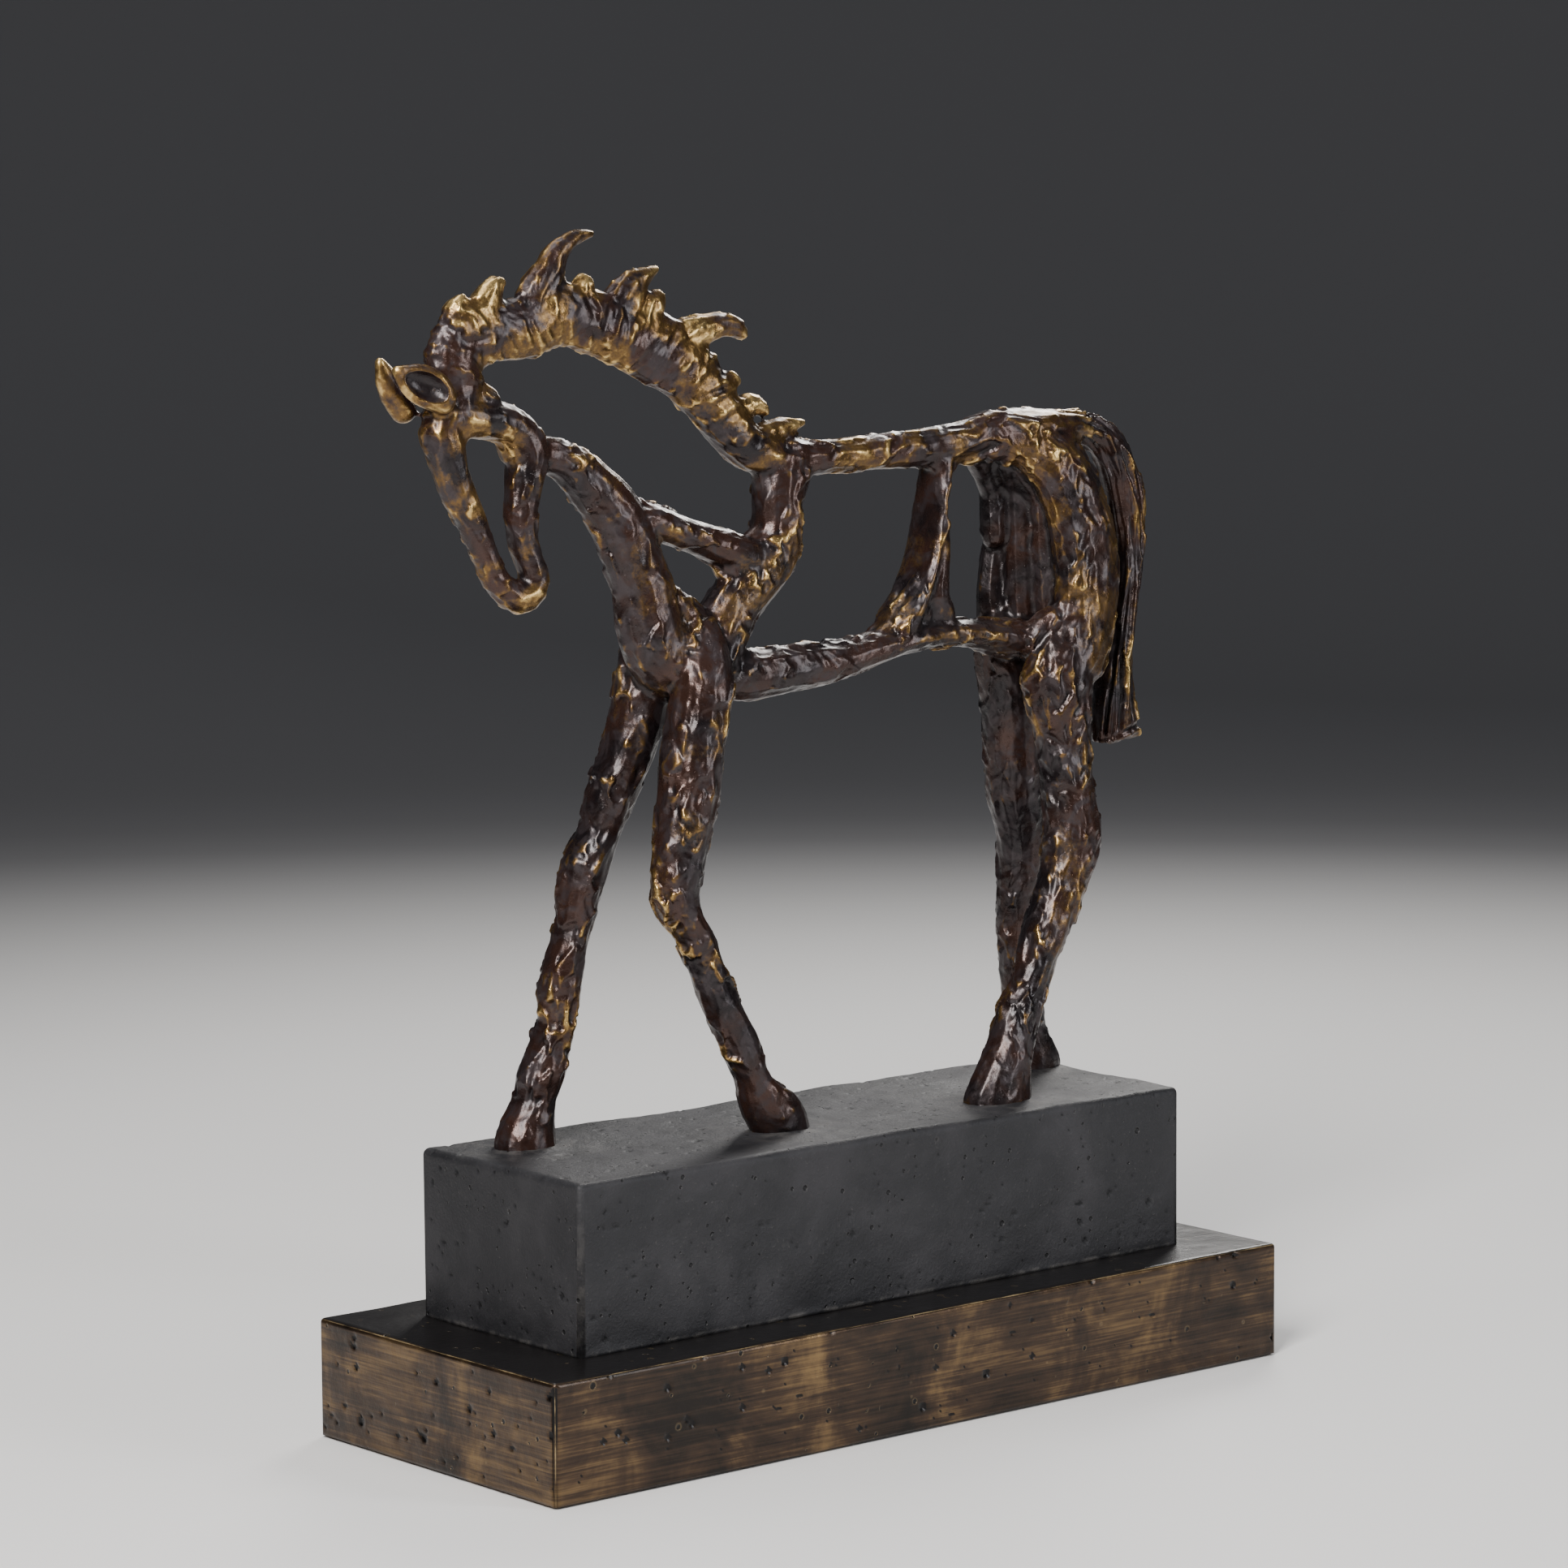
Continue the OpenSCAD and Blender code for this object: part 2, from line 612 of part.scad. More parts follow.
module girth_rib() {
    color(bronze) difference() {
        rib_form();
        back_form();
        belly_form();
    }
}

module croup() {
    color(bronze) croup_form();
}

module left_haunch() {
    color(bronze) difference() {
        left_haunch_form();
        croup_form();
        left_hind_form();
        right_haunch_form();
        right_hind_form();
    }
}

module right_haunch() {
    color(bronze) difference() {
        right_haunch_form();
        croup_form();
        right_hind_form();
        left_hind_form();
    }
}

module rump() {
    color(bronze) difference() {
        rump_form();
        left_haunch_form();
        right_haunch_form();
        croup_form();
    }
}

module tail() {
    color(bronze) difference() {
        tail_form();
        croup_form();
        left_haunch_form();
        right_haunch_form();
        rump_form();
    }
}

// ---- Base ----

// A block with rounded upright corners, standing on z = 0.
module upright_block(l, w, h, r) {
    linear_extrude(height = h) offset(r = r) square([l - 2 * r, w - 2 * r], center = true);
}

module at_plinth_bosses() {
    for (x = [-boss_x, boss_x]) for (y = [-boss_y, boss_y]) translate([x, y, 0]) children();
}

module at_cover_bosses() {
    for (x = [-cover_boss_x, 0, cover_boss_x]) for (y = [-cover_boss_y, cover_boss_y])
        translate([x, y, 0]) children();
}

module at_hooves() {
    for (h = hooves) translate([k * h[0], k * h[1], 0]) children();
}

module plinth_block() {
    inner_h = plinth_h - plinth_top;
    color(iron) translate([0, 0, plinth_z]) difference() {
        union() {
            difference() {
                upright_block(plinth_l, plinth_w, plinth_h, plinth_corner_r);
                translate([-plinth_l / 2 + plinth_wall, -plinth_w / 2 + plinth_wall, -eps])
                    cube([plinth_l - 2 * plinth_wall, plinth_w - 2 * plinth_wall, inner_h + eps]);
            }
            at_plinth_bosses() cylinder(r = boss_r, h = inner_h + 1);
        }
        at_plinth_bosses() translate([0, 0, -eps])
            cylinder(r = stud_r + thread_gap, h = plinth_bite + 3 + eps);
        at_hooves() translate([0, 0, inner_h - 1]) cylinder(r = stud_r + hole_gap, h = plinth_top + 2);
    }
}

module base_slab() {
    rim_z = cover_z + cover_t - slab_z;
    inner_top = slab_h - slab_top;
    cavity_l = slab_l - 2 * slab_wall;
    cavity_w = slab_w - 2 * slab_wall;
    color(gold_bronze) translate([0, 0, slab_z]) difference() {
        union() {
            difference() {
                upright_block(slab_l, slab_w, slab_h, slab_corner_r);
                translate([-cavity_l / 2, -cavity_w / 2, -eps]) cube([cavity_l, cavity_w, rim_z + eps]);
                translate([-cavity_l / 2 + cover_ledge, -cavity_w / 2 + cover_ledge, 0])
                    cube([cavity_l - 2 * cover_ledge, cavity_w - 2 * cover_ledge, inner_top]);
            }
            at_cover_bosses() translate([0, 0, rim_z])
                cylinder(r = cover_boss_r + 1, h = inner_top - rim_z + 1);
        }
        at_cover_bosses() translate([0, 0, rim_z - eps])
            cylinder(r = cover_screw_r + thread_gap, h = cover_screw_l + 2 + eps);
        at_plinth_bosses() translate([0, 0, inner_top - 1])
            cylinder(r = stud_r + hole_gap, h = slab_top + 2);
    }
}

module cover_screws() {
    head_r = 1.9 * cover_screw_r;
    head_h = head_r - cover_screw_r;
    color(steel) at_cover_bosses() translate([0, 0, cover_z]) {
        cylinder(r1 = head_r, r2 = cover_screw_r, h = head_h);
        cylinder(r = cover_screw_r, h = cover_t + cover_screw_l);
    }
}

module base_cover() {
    head_r = 1.9 * cover_screw_r;
    sink = 0.1;
    color(steel) translate([0, 0, cover_z]) difference() {
        translate([-slab_l / 2 + slab_wall + cover_gap, -slab_w / 2 + slab_wall + cover_gap, 0])
            cube([slab_l - 2 * slab_wall - 2 * cover_gap, slab_w - 2 * slab_wall - 2 * cover_gap, cover_t]);
        at_cover_bosses() {
            translate([0, 0, -sink]) cylinder(r1 = head_r + 2 * sink, r2 = cover_screw_r + sink,
                h = head_r - cover_screw_r + sink);
            translate([0, 0, -eps]) cylinder(r = cover_screw_r + sink, h = cover_t + 2 * eps);
        }
    }
}

module felt_pad() {
    l = slab_l - 2 * slab_wall - 4 * cover_gap;
    w = slab_w - 2 * slab_wall - 4 * cover_gap;
    color(felt_green) upright_block(l, w, felt_t, 2);
}

module plinth_screws() {
    color(steel) at_plinth_bosses() {
        seat = plinth_z - slab_top - washer_t;
        translate([0, 0, seat]) cylinder(r = stud_r, h = plinth_bite + slab_top + washer_t);
        translate([0, 0, seat - nut_h]) cylinder(r = nut_r, h = nut_h, $fn = 6);
    }
}

// Flat ring under a nut or a screw head, with its top face at z = 0.
module washer() {
    translate([0, 0, -washer_t]) difference() {
        cylinder(r = washer_r, h = washer_t);
        translate([0, 0, -eps]) cylinder(r = stud_r + hole_gap, h = washer_t + 2 * eps);
    }
}

module plinth_washers() {
    color(steel) at_plinth_bosses() translate([0, 0, plinth_z - slab_top]) washer();
}

module hoof_studs() {
    below = plinth_top + washer_t + nut_h + stud_tail;
    color(steel) at_hooves() translate([0, 0, top_z - below]) cylinder(r = stud_r, h = below + stud_depth);
}

module stud_washers() {
    color(steel) at_hooves() translate([0, 0, top_z - plinth_top]) washer();
}

module stud_nuts() {
    color(steel) at_hooves() translate([0, 0, top_z - plinth_top - washer_t - nut_h]) difference() {
        cylinder(r = nut_r, h = nut_h, $fn = 6);
        translate([0, 0, -eps]) cylinder(r = stud_r + thread_gap, h = nut_h + 2 * eps);
    }
}

base_slab();
base_cover();
cover_screws();
felt_pad();
plinth_block();
plinth_screws();
plinth_washers();
hoof_studs();
stud_washers();
stud_nuts();
left_fore_leg();
right_fore_leg();
left_hind_leg();
right_hind_leg();
chest();
shoulder_bar();
withers_post();
neck_crest();
mane_locks();
head();
left_ear();
right_ear();
back_bar();
belly_bar();
girth_rib();
croup();
left_haunch();
right_haunch();
rump();
tail();
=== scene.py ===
import json
import math
import bmesh
import bpy
import numpy as np
from mathutils import Matrix, Vector
from mathutils.bvhtree import BVHTree

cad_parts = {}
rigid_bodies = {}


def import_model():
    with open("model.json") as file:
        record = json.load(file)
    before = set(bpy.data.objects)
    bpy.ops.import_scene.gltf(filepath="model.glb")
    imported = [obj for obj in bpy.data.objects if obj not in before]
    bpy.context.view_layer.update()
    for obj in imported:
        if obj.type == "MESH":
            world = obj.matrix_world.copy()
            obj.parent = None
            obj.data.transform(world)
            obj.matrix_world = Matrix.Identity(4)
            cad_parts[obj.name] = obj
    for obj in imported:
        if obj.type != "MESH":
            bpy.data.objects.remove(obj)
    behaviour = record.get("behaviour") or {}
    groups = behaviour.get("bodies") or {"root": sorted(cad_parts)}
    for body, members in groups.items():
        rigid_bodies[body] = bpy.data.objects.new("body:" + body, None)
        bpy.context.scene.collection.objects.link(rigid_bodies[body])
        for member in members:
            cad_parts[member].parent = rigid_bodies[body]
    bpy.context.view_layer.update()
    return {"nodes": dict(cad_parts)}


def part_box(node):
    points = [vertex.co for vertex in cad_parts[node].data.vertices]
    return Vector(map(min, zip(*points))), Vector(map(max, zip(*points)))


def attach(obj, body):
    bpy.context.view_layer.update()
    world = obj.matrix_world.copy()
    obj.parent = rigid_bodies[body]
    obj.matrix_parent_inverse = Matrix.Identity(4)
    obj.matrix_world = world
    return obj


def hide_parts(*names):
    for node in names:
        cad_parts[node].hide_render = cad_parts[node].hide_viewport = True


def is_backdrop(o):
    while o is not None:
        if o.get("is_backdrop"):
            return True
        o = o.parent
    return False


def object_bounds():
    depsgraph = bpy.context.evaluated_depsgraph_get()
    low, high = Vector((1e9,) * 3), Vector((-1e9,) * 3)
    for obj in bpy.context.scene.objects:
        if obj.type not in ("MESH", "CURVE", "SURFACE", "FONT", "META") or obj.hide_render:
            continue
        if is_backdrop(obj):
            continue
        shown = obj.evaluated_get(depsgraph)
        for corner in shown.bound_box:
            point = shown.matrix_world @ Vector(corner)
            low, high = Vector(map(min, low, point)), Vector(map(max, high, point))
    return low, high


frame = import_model()
mm = 0.001
rng = np.random.default_rng(17)
print("frame loaded")


# camera, floor and lights

cameraPlace = {
    "aim": (-7.0 * mm, 0.0, 16.5 * mm),  # from the middle of the object's box
    "azimuth": -40.15,
    "elevation": 6.43,
    "roll": -0.39,
    "distance": 2.137,
    "lens": 112.85,
}


def boxMiddle():
    low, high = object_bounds()
    return (low + high) / 2


def linkObject(name, data):
    made = bpy.data.objects.new(name, data)
    bpy.context.scene.collection.objects.link(made)
    return made


def makeCamera(place):
    data = bpy.data.cameras.new("camera")
    data.lens = place["lens"]
    data.sensor_width = 36.0
    data.clip_start = 0.05
    data.clip_end = 40.0
    camera = linkObject("camera", data)
    turn = math.radians(place["azimuth"])
    lift = math.radians(place["elevation"])
    back = Vector((math.sin(turn) * math.cos(lift), -math.cos(turn) * math.cos(lift), math.sin(lift)))
    aim = boxMiddle() + Vector(place["aim"])
    look = (-back).to_track_quat("-Z", "Y").to_matrix()
    spin = Matrix.Rotation(math.radians(-place["roll"]), 3, -back)
    camera.matrix_world = Matrix.Translation(aim + back * place["distance"]) @ (spin @ look).to_4x4()
    bpy.context.scene.camera = camera


studio = {
    "floorRadius": 3.2,
    "curve": 1.2,
    "curveSteps": 16,
    "roundSteps": 96,
    "wallHeight": 3.4,
    "floorColour": (0.66, 0.65, 0.64),
    "wallColour": (0.085, 0.085, 0.090),
    "fadeFrom": 0.75,         # the pale floor fades into the wall between these distances
    "fadeTo": 2.3,
    "worldColour": (0.80, 0.84, 0.92, 1.0),
    "worldStrength": 0.28,
}

# each light: place from the object's middle, size, power, colour
lights = {
    "keySoftbox": {"at": (-1.25, -0.80, 1.00), "size": (0.5, 1.1), "power": 62, "colour": (1.0, 0.98, 0.96)},
    "sideSoftbox": {"at": (0.85, -1.60, 0.55), "size": (0.4, 1.2), "power": 18, "colour": (0.95, 0.97, 1.0)},
    "rimSoftbox": {"at": (1.35, 0.95, 1.05), "size": (0.6, 1.0), "power": 22, "colour": (1.0, 0.98, 0.95)},
    "topSoftbox": {"at": (-0.2, 0.3, 1.8), "size": (1.2, 0.8), "power": 14, "colour": (1.0, 1.0, 1.0)},
}


def makeStudio(settings):
    bm = bmesh.new()
    radius, curve, height = settings["floorRadius"], settings["curve"], settings["wallHeight"]
    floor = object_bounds()[0].z
    profile = [(0.0, 0.0), (0.8, 0.0), (radius - curve, 0.0)]
    for step in range(1, settings["curveSteps"] + 1):
        angle = math.pi / 2 * step / settings["curveSteps"]
        profile.append((radius - curve + curve * math.sin(angle), curve * (1 - math.cos(angle))))
    profile.append((radius, height))
    verts = [bm.verts.new((x, 0.0, floor + z)) for x, z in profile]
    edges = [bm.edges.new(pair) for pair in zip(verts, verts[1:])]
    bmesh.ops.spin(bm, geom=verts + edges, cent=(0, 0, 0), axis=(0, 0, 1), angle=math.tau,
                   steps=settings["roundSteps"], use_merge=True, use_duplicate=False)
    bmesh.ops.remove_doubles(bm, verts=bm.verts, dist=1e-5)
    bmesh.ops.recalc_face_normals(bm, faces=bm.faces)
    mesh = bpy.data.meshes.new("studioFloor")
    bm.to_mesh(mesh)
    bm.free()
    mesh.shade_smooth()
    mesh.materials.append(studioPaint(settings))
    linkObject("studioFloor", mesh)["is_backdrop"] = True
    world = bpy.data.worlds.new("studioAir")
    world.use_nodes = True
    air = world.node_tree.nodes["Background"]
    air.inputs["Color"].default_value = settings["worldColour"]
    air.inputs["Strength"].default_value = settings["worldStrength"]
    bpy.context.scene.world = world


def makeLights(plan):
    middle = boxMiddle()
    for name, light in plan.items():
        data = bpy.data.lights.new(name, "AREA")
        data.shape = "RECTANGLE"
        data.size, data.size_y = light["size"]
        data.energy = light["power"]
        data.color = light["colour"]
        place = Vector(light["at"])
        facing = place.to_track_quat("Z", "Y").to_matrix().to_4x4()
        lamp = linkObject(name, data)
        lamp.matrix_world = Matrix.Translation(middle + place) @ facing


# shader building

class Shade:
    # one material's nodes, added as they are named
    def __init__(self, name):
        self.material = bpy.data.materials.new(name)
        self.material.use_nodes = True
        self.nodes = self.material.node_tree.nodes
        self.links = self.material.node_tree.links
        self.shader = self.nodes["Principled BSDF"]
        self.place = self.nodes.new("ShaderNodeTexCoord").outputs["Object"]

    def put(self, socket, value):
        if isinstance(value, bpy.types.NodeSocket):
            self.links.new(value, socket)
        elif isinstance(value, tuple) and len(value) == 3 and socket.type == "RGBA":
            socket.default_value = (*value, 1.0)
        else:
            socket.default_value = value

    def stretch(self, scale):
        node = self.nodes.new("ShaderNodeMapping")
        self.put(node.inputs["Vector"], self.place)
        node.inputs["Scale"].default_value = scale
        return node.outputs["Vector"]

    def noise(self, size, detail=3.0, rough=0.55, warp=0.0, vector=None):
        # size is the width of one cloud in millimetres
        node = self.nodes.new("ShaderNodeTexNoise")
        self.put(node.inputs["Vector"], vector or self.place)
        node.inputs["Scale"].default_value = 1000.0 / size if vector is None else 1.0
        node.inputs["Detail"].default_value = detail
        node.inputs["Roughness"].default_value = rough
        node.inputs["Distortion"].default_value = warp
        return node.outputs["Fac"]

    def cells(self, size):
        node = self.nodes.new("ShaderNodeTexVoronoi")
        self.put(node.inputs["Vector"], self.place)
        node.inputs["Scale"].default_value = 1000.0 / size
        return node.outputs["Distance"]

    def ramp(self, value, low, high, start=0.0, end=1.0):
        node = self.nodes.new("ShaderNodeMapRange")
        node.interpolation_type = "SMOOTHSTEP"
        self.put(node.inputs["Value"], value)
        self.put(node.inputs["From Min"], low)
        self.put(node.inputs["From Max"], high)
        self.put(node.inputs["To Min"], start)
        self.put(node.inputs["To Max"], end)
        return node.outputs["Result"]

    def sum(self, kind, first, second=0.0, clamp=False):
        node = self.nodes.new("ShaderNodeMath")
        node.operation = kind
        node.use_clamp = clamp
        self.put(node.inputs[0], first)
        self.put(node.inputs[1], second)
        return node.outputs[0]

    def mix(self, amount, first, second):
        node = self.nodes.new("ShaderNodeMix")
        node.data_type = "RGBA"
        self.put(node.inputs[0], amount)
        self.put(node.inputs[6], first)
        self.put(node.inputs[7], second)
        return node.outputs[2]

    def value(self, name):
        node = self.nodes.new("ShaderNodeAttribute")
        node.attribute_name = name
        return node.outputs["Fac"]

    def bump(self, height, distance, strength=1.0, under=None):
        node = self.nodes.new("ShaderNodeBump")
        node.inputs["Strength"].default_value = strength
        node.inputs["Distance"].default_value = distance
        self.put(node.inputs["Height"], height)
        if under:
            self.put(node.inputs["Normal"], under)
        return node.outputs["Normal"]

    def finish(self, colour, metal, rough, normal=None, **fixed):
        self.put(self.shader.inputs["Base Color"], colour)
        self.put(self.shader.inputs["Metallic"], metal)
        self.put(self.shader.inputs["Roughness"], rough)
        if normal:
            self.put(self.shader.inputs["Normal"], normal)
        for name, value in fixed.items():
            self.shader.inputs[name.replace("_", " ")].default_value = value
        return self.material


def studioPaint(settings):
    shade = Shade("studioPaint")
    reach = shade.nodes.new("ShaderNodeVectorMath")
    reach.operation = "LENGTH"
    shade.put(reach.inputs[0], shade.place)
    away = shade.ramp(reach.outputs["Value"], settings["fadeFrom"], settings["fadeTo"])
    colour = shade.mix(away, settings["floorColour"], settings["wallColour"])
    return shade.finish(colour, 0.0, 0.75, Specular_IOR_Level=0.2)


makeCamera(cameraPlace)
makeStudio(studio)
makeLights(lights)
print("camera, floor and lights placed")


horseFinish = {
    "dark": (0.010, 0.007, 0.008),
    "redBrown": (0.038, 0.017, 0.012),
    # painted sheen: a greyish lilac standing in for soft reflections on the gloss
    "sheenGreyBrown": (0.032, 0.024, 0.026),
    "oldGold": (0.17, 0.095, 0.030),
    "brightGold": (0.56, 0.38, 0.15),
    "pitSize": 1.6,
}


def horseBronze(finish):
    shade = Shade("horseBronze")
    wear, hollow, gold = shade.value("wear"), shade.value("hollow"), shade.value("gold")
    clouds = shade.noise(26.0, 4.0)
    patches = shade.noise(9.0, 5.0, 0.6, 0.8)
    grain = shade.noise(1.5, 4.0, 0.65)
    base = shade.mix(shade.ramp(clouds, 0.36, 0.64), finish["dark"], finish["redBrown"])
    # painted sheen: greyish-lilac patches for soft reflections of the softboxes on the lacquer
    base = shade.mix(shade.ramp(patches, 0.46, 0.62, 0.0, 0.8), base, finish["sheenGreyBrown"])
    base = shade.mix(shade.ramp(hollow, 0.1, 0.8, 0.0, 0.85), base, finish["dark"])
    # rubbed gold gathers in grainy patches, on ridges and where the casting is handled
    areas = shade.ramp(shade.noise(24.0, 3.0), 0.40, 0.62, -0.38, 0.26)
    rubbed = shade.sum("ADD", shade.sum("MULTIPLY", wear, 0.66), shade.sum("MULTIPLY", gold, 0.78))
    rubbed = shade.sum("ADD", rubbed, areas)
    rubbed = shade.sum("ADD", rubbed, shade.sum("MULTIPLY", patches, 0.35))
    rubbed = shade.sum("ADD", rubbed, shade.sum("MULTIPLY", grain, 0.72))
    # less rubbed gold where the statue shelters a spot: partly wear that does not reach there, partly
    # painted shade that keeps the recesses dark
    rubbed = shade.sum("SUBTRACT", rubbed, shade.sum("MULTIPLY", shade.value("occlusionShade"), 0.7))
    soft = shade.ramp(rubbed, 0.98, 1.58)
    crisp = shade.ramp(rubbed, 1.40, 1.86)
    colour = shade.mix(soft, base, finish["oldGold"])
    colour = shade.mix(crisp, colour, finish["brightGold"])
    metal = shade.sum("ADD", 0.55, shade.sum("MULTIPLY", soft, 0.4), clamp=True)
    rough = shade.ramp(patches, 0.3, 0.7, 0.23, 0.38)
    pits = shade.ramp(shade.cells(finish["pitSize"]), 0.06, 0.30)
    speck = shade.ramp(shade.noise(3.2, 2.0), 0.56, 0.62)
    pitted = shade.sum("MAXIMUM", pits, shade.sum("SUBTRACT", 1.0, speck))
    height = shade.sum("ADD", shade.sum("MULTIPLY", pitted, 0.5), shade.noise(2.6, 4.0, 0.6, 0.4))
    normal = shade.bump(height, 0.45 * mm, 0.55)
    return shade.finish(colour, metal, rough, normal, Coat_Weight=0.12, Coat_Roughness=0.2)


slabFinish = {
    "dark": (0.011, 0.008, 0.006),
    "brown": (0.052, 0.030, 0.017),
    "gold": (0.20, 0.125, 0.052),
    "edge": (0.50, 0.37, 0.19),
    "black": (0.006, 0.005, 0.005),
}


def slabBronze(finish):
    shade = Shade("slabBronze")
    wear, pit, top = shade.value("wear"), shade.value("hollow"), shade.value("top")
    brushed = shade.noise(1, 5.0, 0.6, 0.0, shade.stretch((22.0, 22.0, 900.0)))
    streaks = shade.noise(1, 3.0, 0.5, 0.3, shade.stretch((22.0, 22.0, 260.0)))
    clouds = shade.noise(45.0, 5.0, 0.6, 0.8)
    warm = shade.sum("ADD", shade.sum("MULTIPLY", brushed, 0.50), shade.sum("MULTIPLY", clouds, 0.90))
    warm = shade.sum("ADD", warm, shade.sum("MULTIPLY", streaks, 0.35))
    colour = shade.mix(shade.ramp(warm, 0.66, 0.98), finish["dark"], finish["brown"])
    colour = shade.mix(shade.ramp(warm, 0.86, 1.18), colour, finish["gold"])
    colour = shade.mix(shade.ramp(pit, 0.25, 0.7), colour, finish["black"])
    colour = shade.mix(top, colour, finish["black"])
    edge = shade.sum("ADD", wear, shade.sum("MULTIPLY", shade.noise(14.0, 5.0, 0.65), 1.1))
    colour = shade.mix(shade.ramp(edge, 1.25, 1.65), colour, finish["edge"])
    metal = shade.ramp(top, 0.0, 1.0, 0.85, 0.35)
    rough = shade.ramp(streaks, 0.3, 0.7, 0.30, 0.42)
    sound = pinholes(shade, ((11.0, 0.12, 0.54), (6.0, 0.15, 0.60), (19.0, 0.09, 0.54)))
    clear = pinholes(shade, ((11.0, 0.17, 0.54), (6.0, 0.21, 0.60), (19.0, 0.13, 0.54)))
    rim = shade.sum("MULTIPLY", shade.sum("SUBTRACT", sound, clear, True), 0.14)
    colour = shade.mix(rim, colour, finish["edge"])
    colour = shade.mix(shade.sum("SUBTRACT", 1.0, sound), colour, finish["black"])
    fine = shade.bump(brushed, 0.10 * mm, 0.5)
    height = shade.sum("ADD", shade.sum("MULTIPLY", shade.noise(5.0, 4.0, 0.6), 0.4), sound)
    normal = shade.bump(height, 1.0 * mm, 0.7, fine)
    return shade.finish(colour, metal, rough, normal, Coat_Weight=0.25, Coat_Roughness=0.2)


blockFinish = {
    "coal": (0.012, 0.012, 0.014),
    "grey": (0.030, 0.029, 0.032),
    "dust": (0.12, 0.112, 0.104),
    "black": (0.004, 0.004, 0.005),
}


def pinholes(shade, kinds):
    # 1 on the sound surface, 0 inside a pit
    sound = 1.0
    for size, radius, share in kinds:
        hole = shade.ramp(shade.cells(size), radius * 0.6, radius)
        left = shade.ramp(shade.noise(size * 1.7, 1.0), share, share + 0.02)
        hole = shade.sum("MAXIMUM", hole, shade.sum("SUBTRACT", 1.0, left))
        sound = shade.sum("MINIMUM", hole, sound)
    return sound


def blockIron(finish):
    shade = Shade("blockIron")
    wear, pit, halo = shade.value("wear"), shade.value("hollow"), shade.value("halo")
    clouds = shade.noise(60.0, 6.0, 0.62, 0.5)
    grain = shade.noise(1.4, 4.0, 0.65)
    colour = shade.mix(shade.ramp(clouds, 0.36, 0.68), finish["coal"], finish["grey"])
    colour = shade.mix(shade.ramp(grain, 0.60, 0.80, 0.0, 0.5), colour, finish["dust"])
    dusty = shade.sum("MULTIPLY", halo, shade.ramp(shade.noise(8.0, 5.0, 0.65), 0.42, 0.66))
    colour = shade.mix(shade.sum("MULTIPLY", dusty, 0.55), colour, finish["dust"])
    edge = shade.sum("ADD", wear, shade.sum("MULTIPLY", shade.noise(16.0, 5.0, 0.65), 1.1))
    colour = shade.mix(shade.ramp(edge, 1.30, 1.75, 0.0, 0.5), colour, finish["dust"])
    colour = shade.mix(shade.ramp(pit, 0.3, 0.8), colour, finish["black"])
    rough = shade.ramp(clouds, 0.3, 0.7, 0.50, 0.66)
    # scattered casting pits: cells of three sizes, most of them left out
    sound = pinholes(shade, ((9.0, 0.13, 0.50), (5.0, 0.17, 0.55), (16.0, 0.10, 0.50)))
    clear = pinholes(shade, ((9.0, 0.18, 0.50), (5.0, 0.22, 0.55), (16.0, 0.14, 0.50)))
    rim = shade.sum("MULTIPLY", shade.sum("SUBTRACT", sound, clear, True), 0.12)
    colour = shade.mix(rim, colour, finish["dust"])
    colour = shade.mix(shade.sum("SUBTRACT", 1.0, sound), colour, finish["black"])
    height = shade.sum("ADD", shade.sum("MULTIPLY", grain, 0.35), sound)
    normal = shade.bump(height, 1.2 * mm, 0.8)
    return shade.finish(colour, 0.35, rough, normal)


def turnedSteel():
    shade = Shade("turnedSteel")
    rings = shade.noise(1, 3.0, 0.6, 0.0, shade.stretch((160.0, 160.0, 1800.0)))
    stain = shade.noise(6.0, 4.0)
    colour = shade.mix(shade.ramp(stain, 0.4, 0.7), (0.38, 0.39, 0.40), (0.24, 0.23, 0.22))
    rough = shade.ramp(rings, 0.3, 0.7, 0.28, 0.45)
    return shade.finish(colour, 1.0, rough, shade.bump(rings, 0.05 * mm, 0.4))


def greenFelt():
    shade = Shade("greenFelt")
    fibre = shade.noise(0.9, 5.0, 0.7, 1.2)
    tufts = shade.noise(5.0, 4.0, 0.6)
    colour = shade.mix(shade.ramp(tufts, 0.35, 0.65), (0.012, 0.020, 0.016), (0.024, 0.037, 0.030))
    colour = shade.mix(shade.ramp(fibre, 0.55, 0.8, 0.0, 0.6), colour, (0.05, 0.07, 0.06))
    nap = shade.bump(fibre, 0.3 * mm, 0.8)
    return shade.finish(colour, 0.0, 0.95, nap, Sheen_Weight=0.4, Sheen_Roughness=0.5)


# mesh helpers

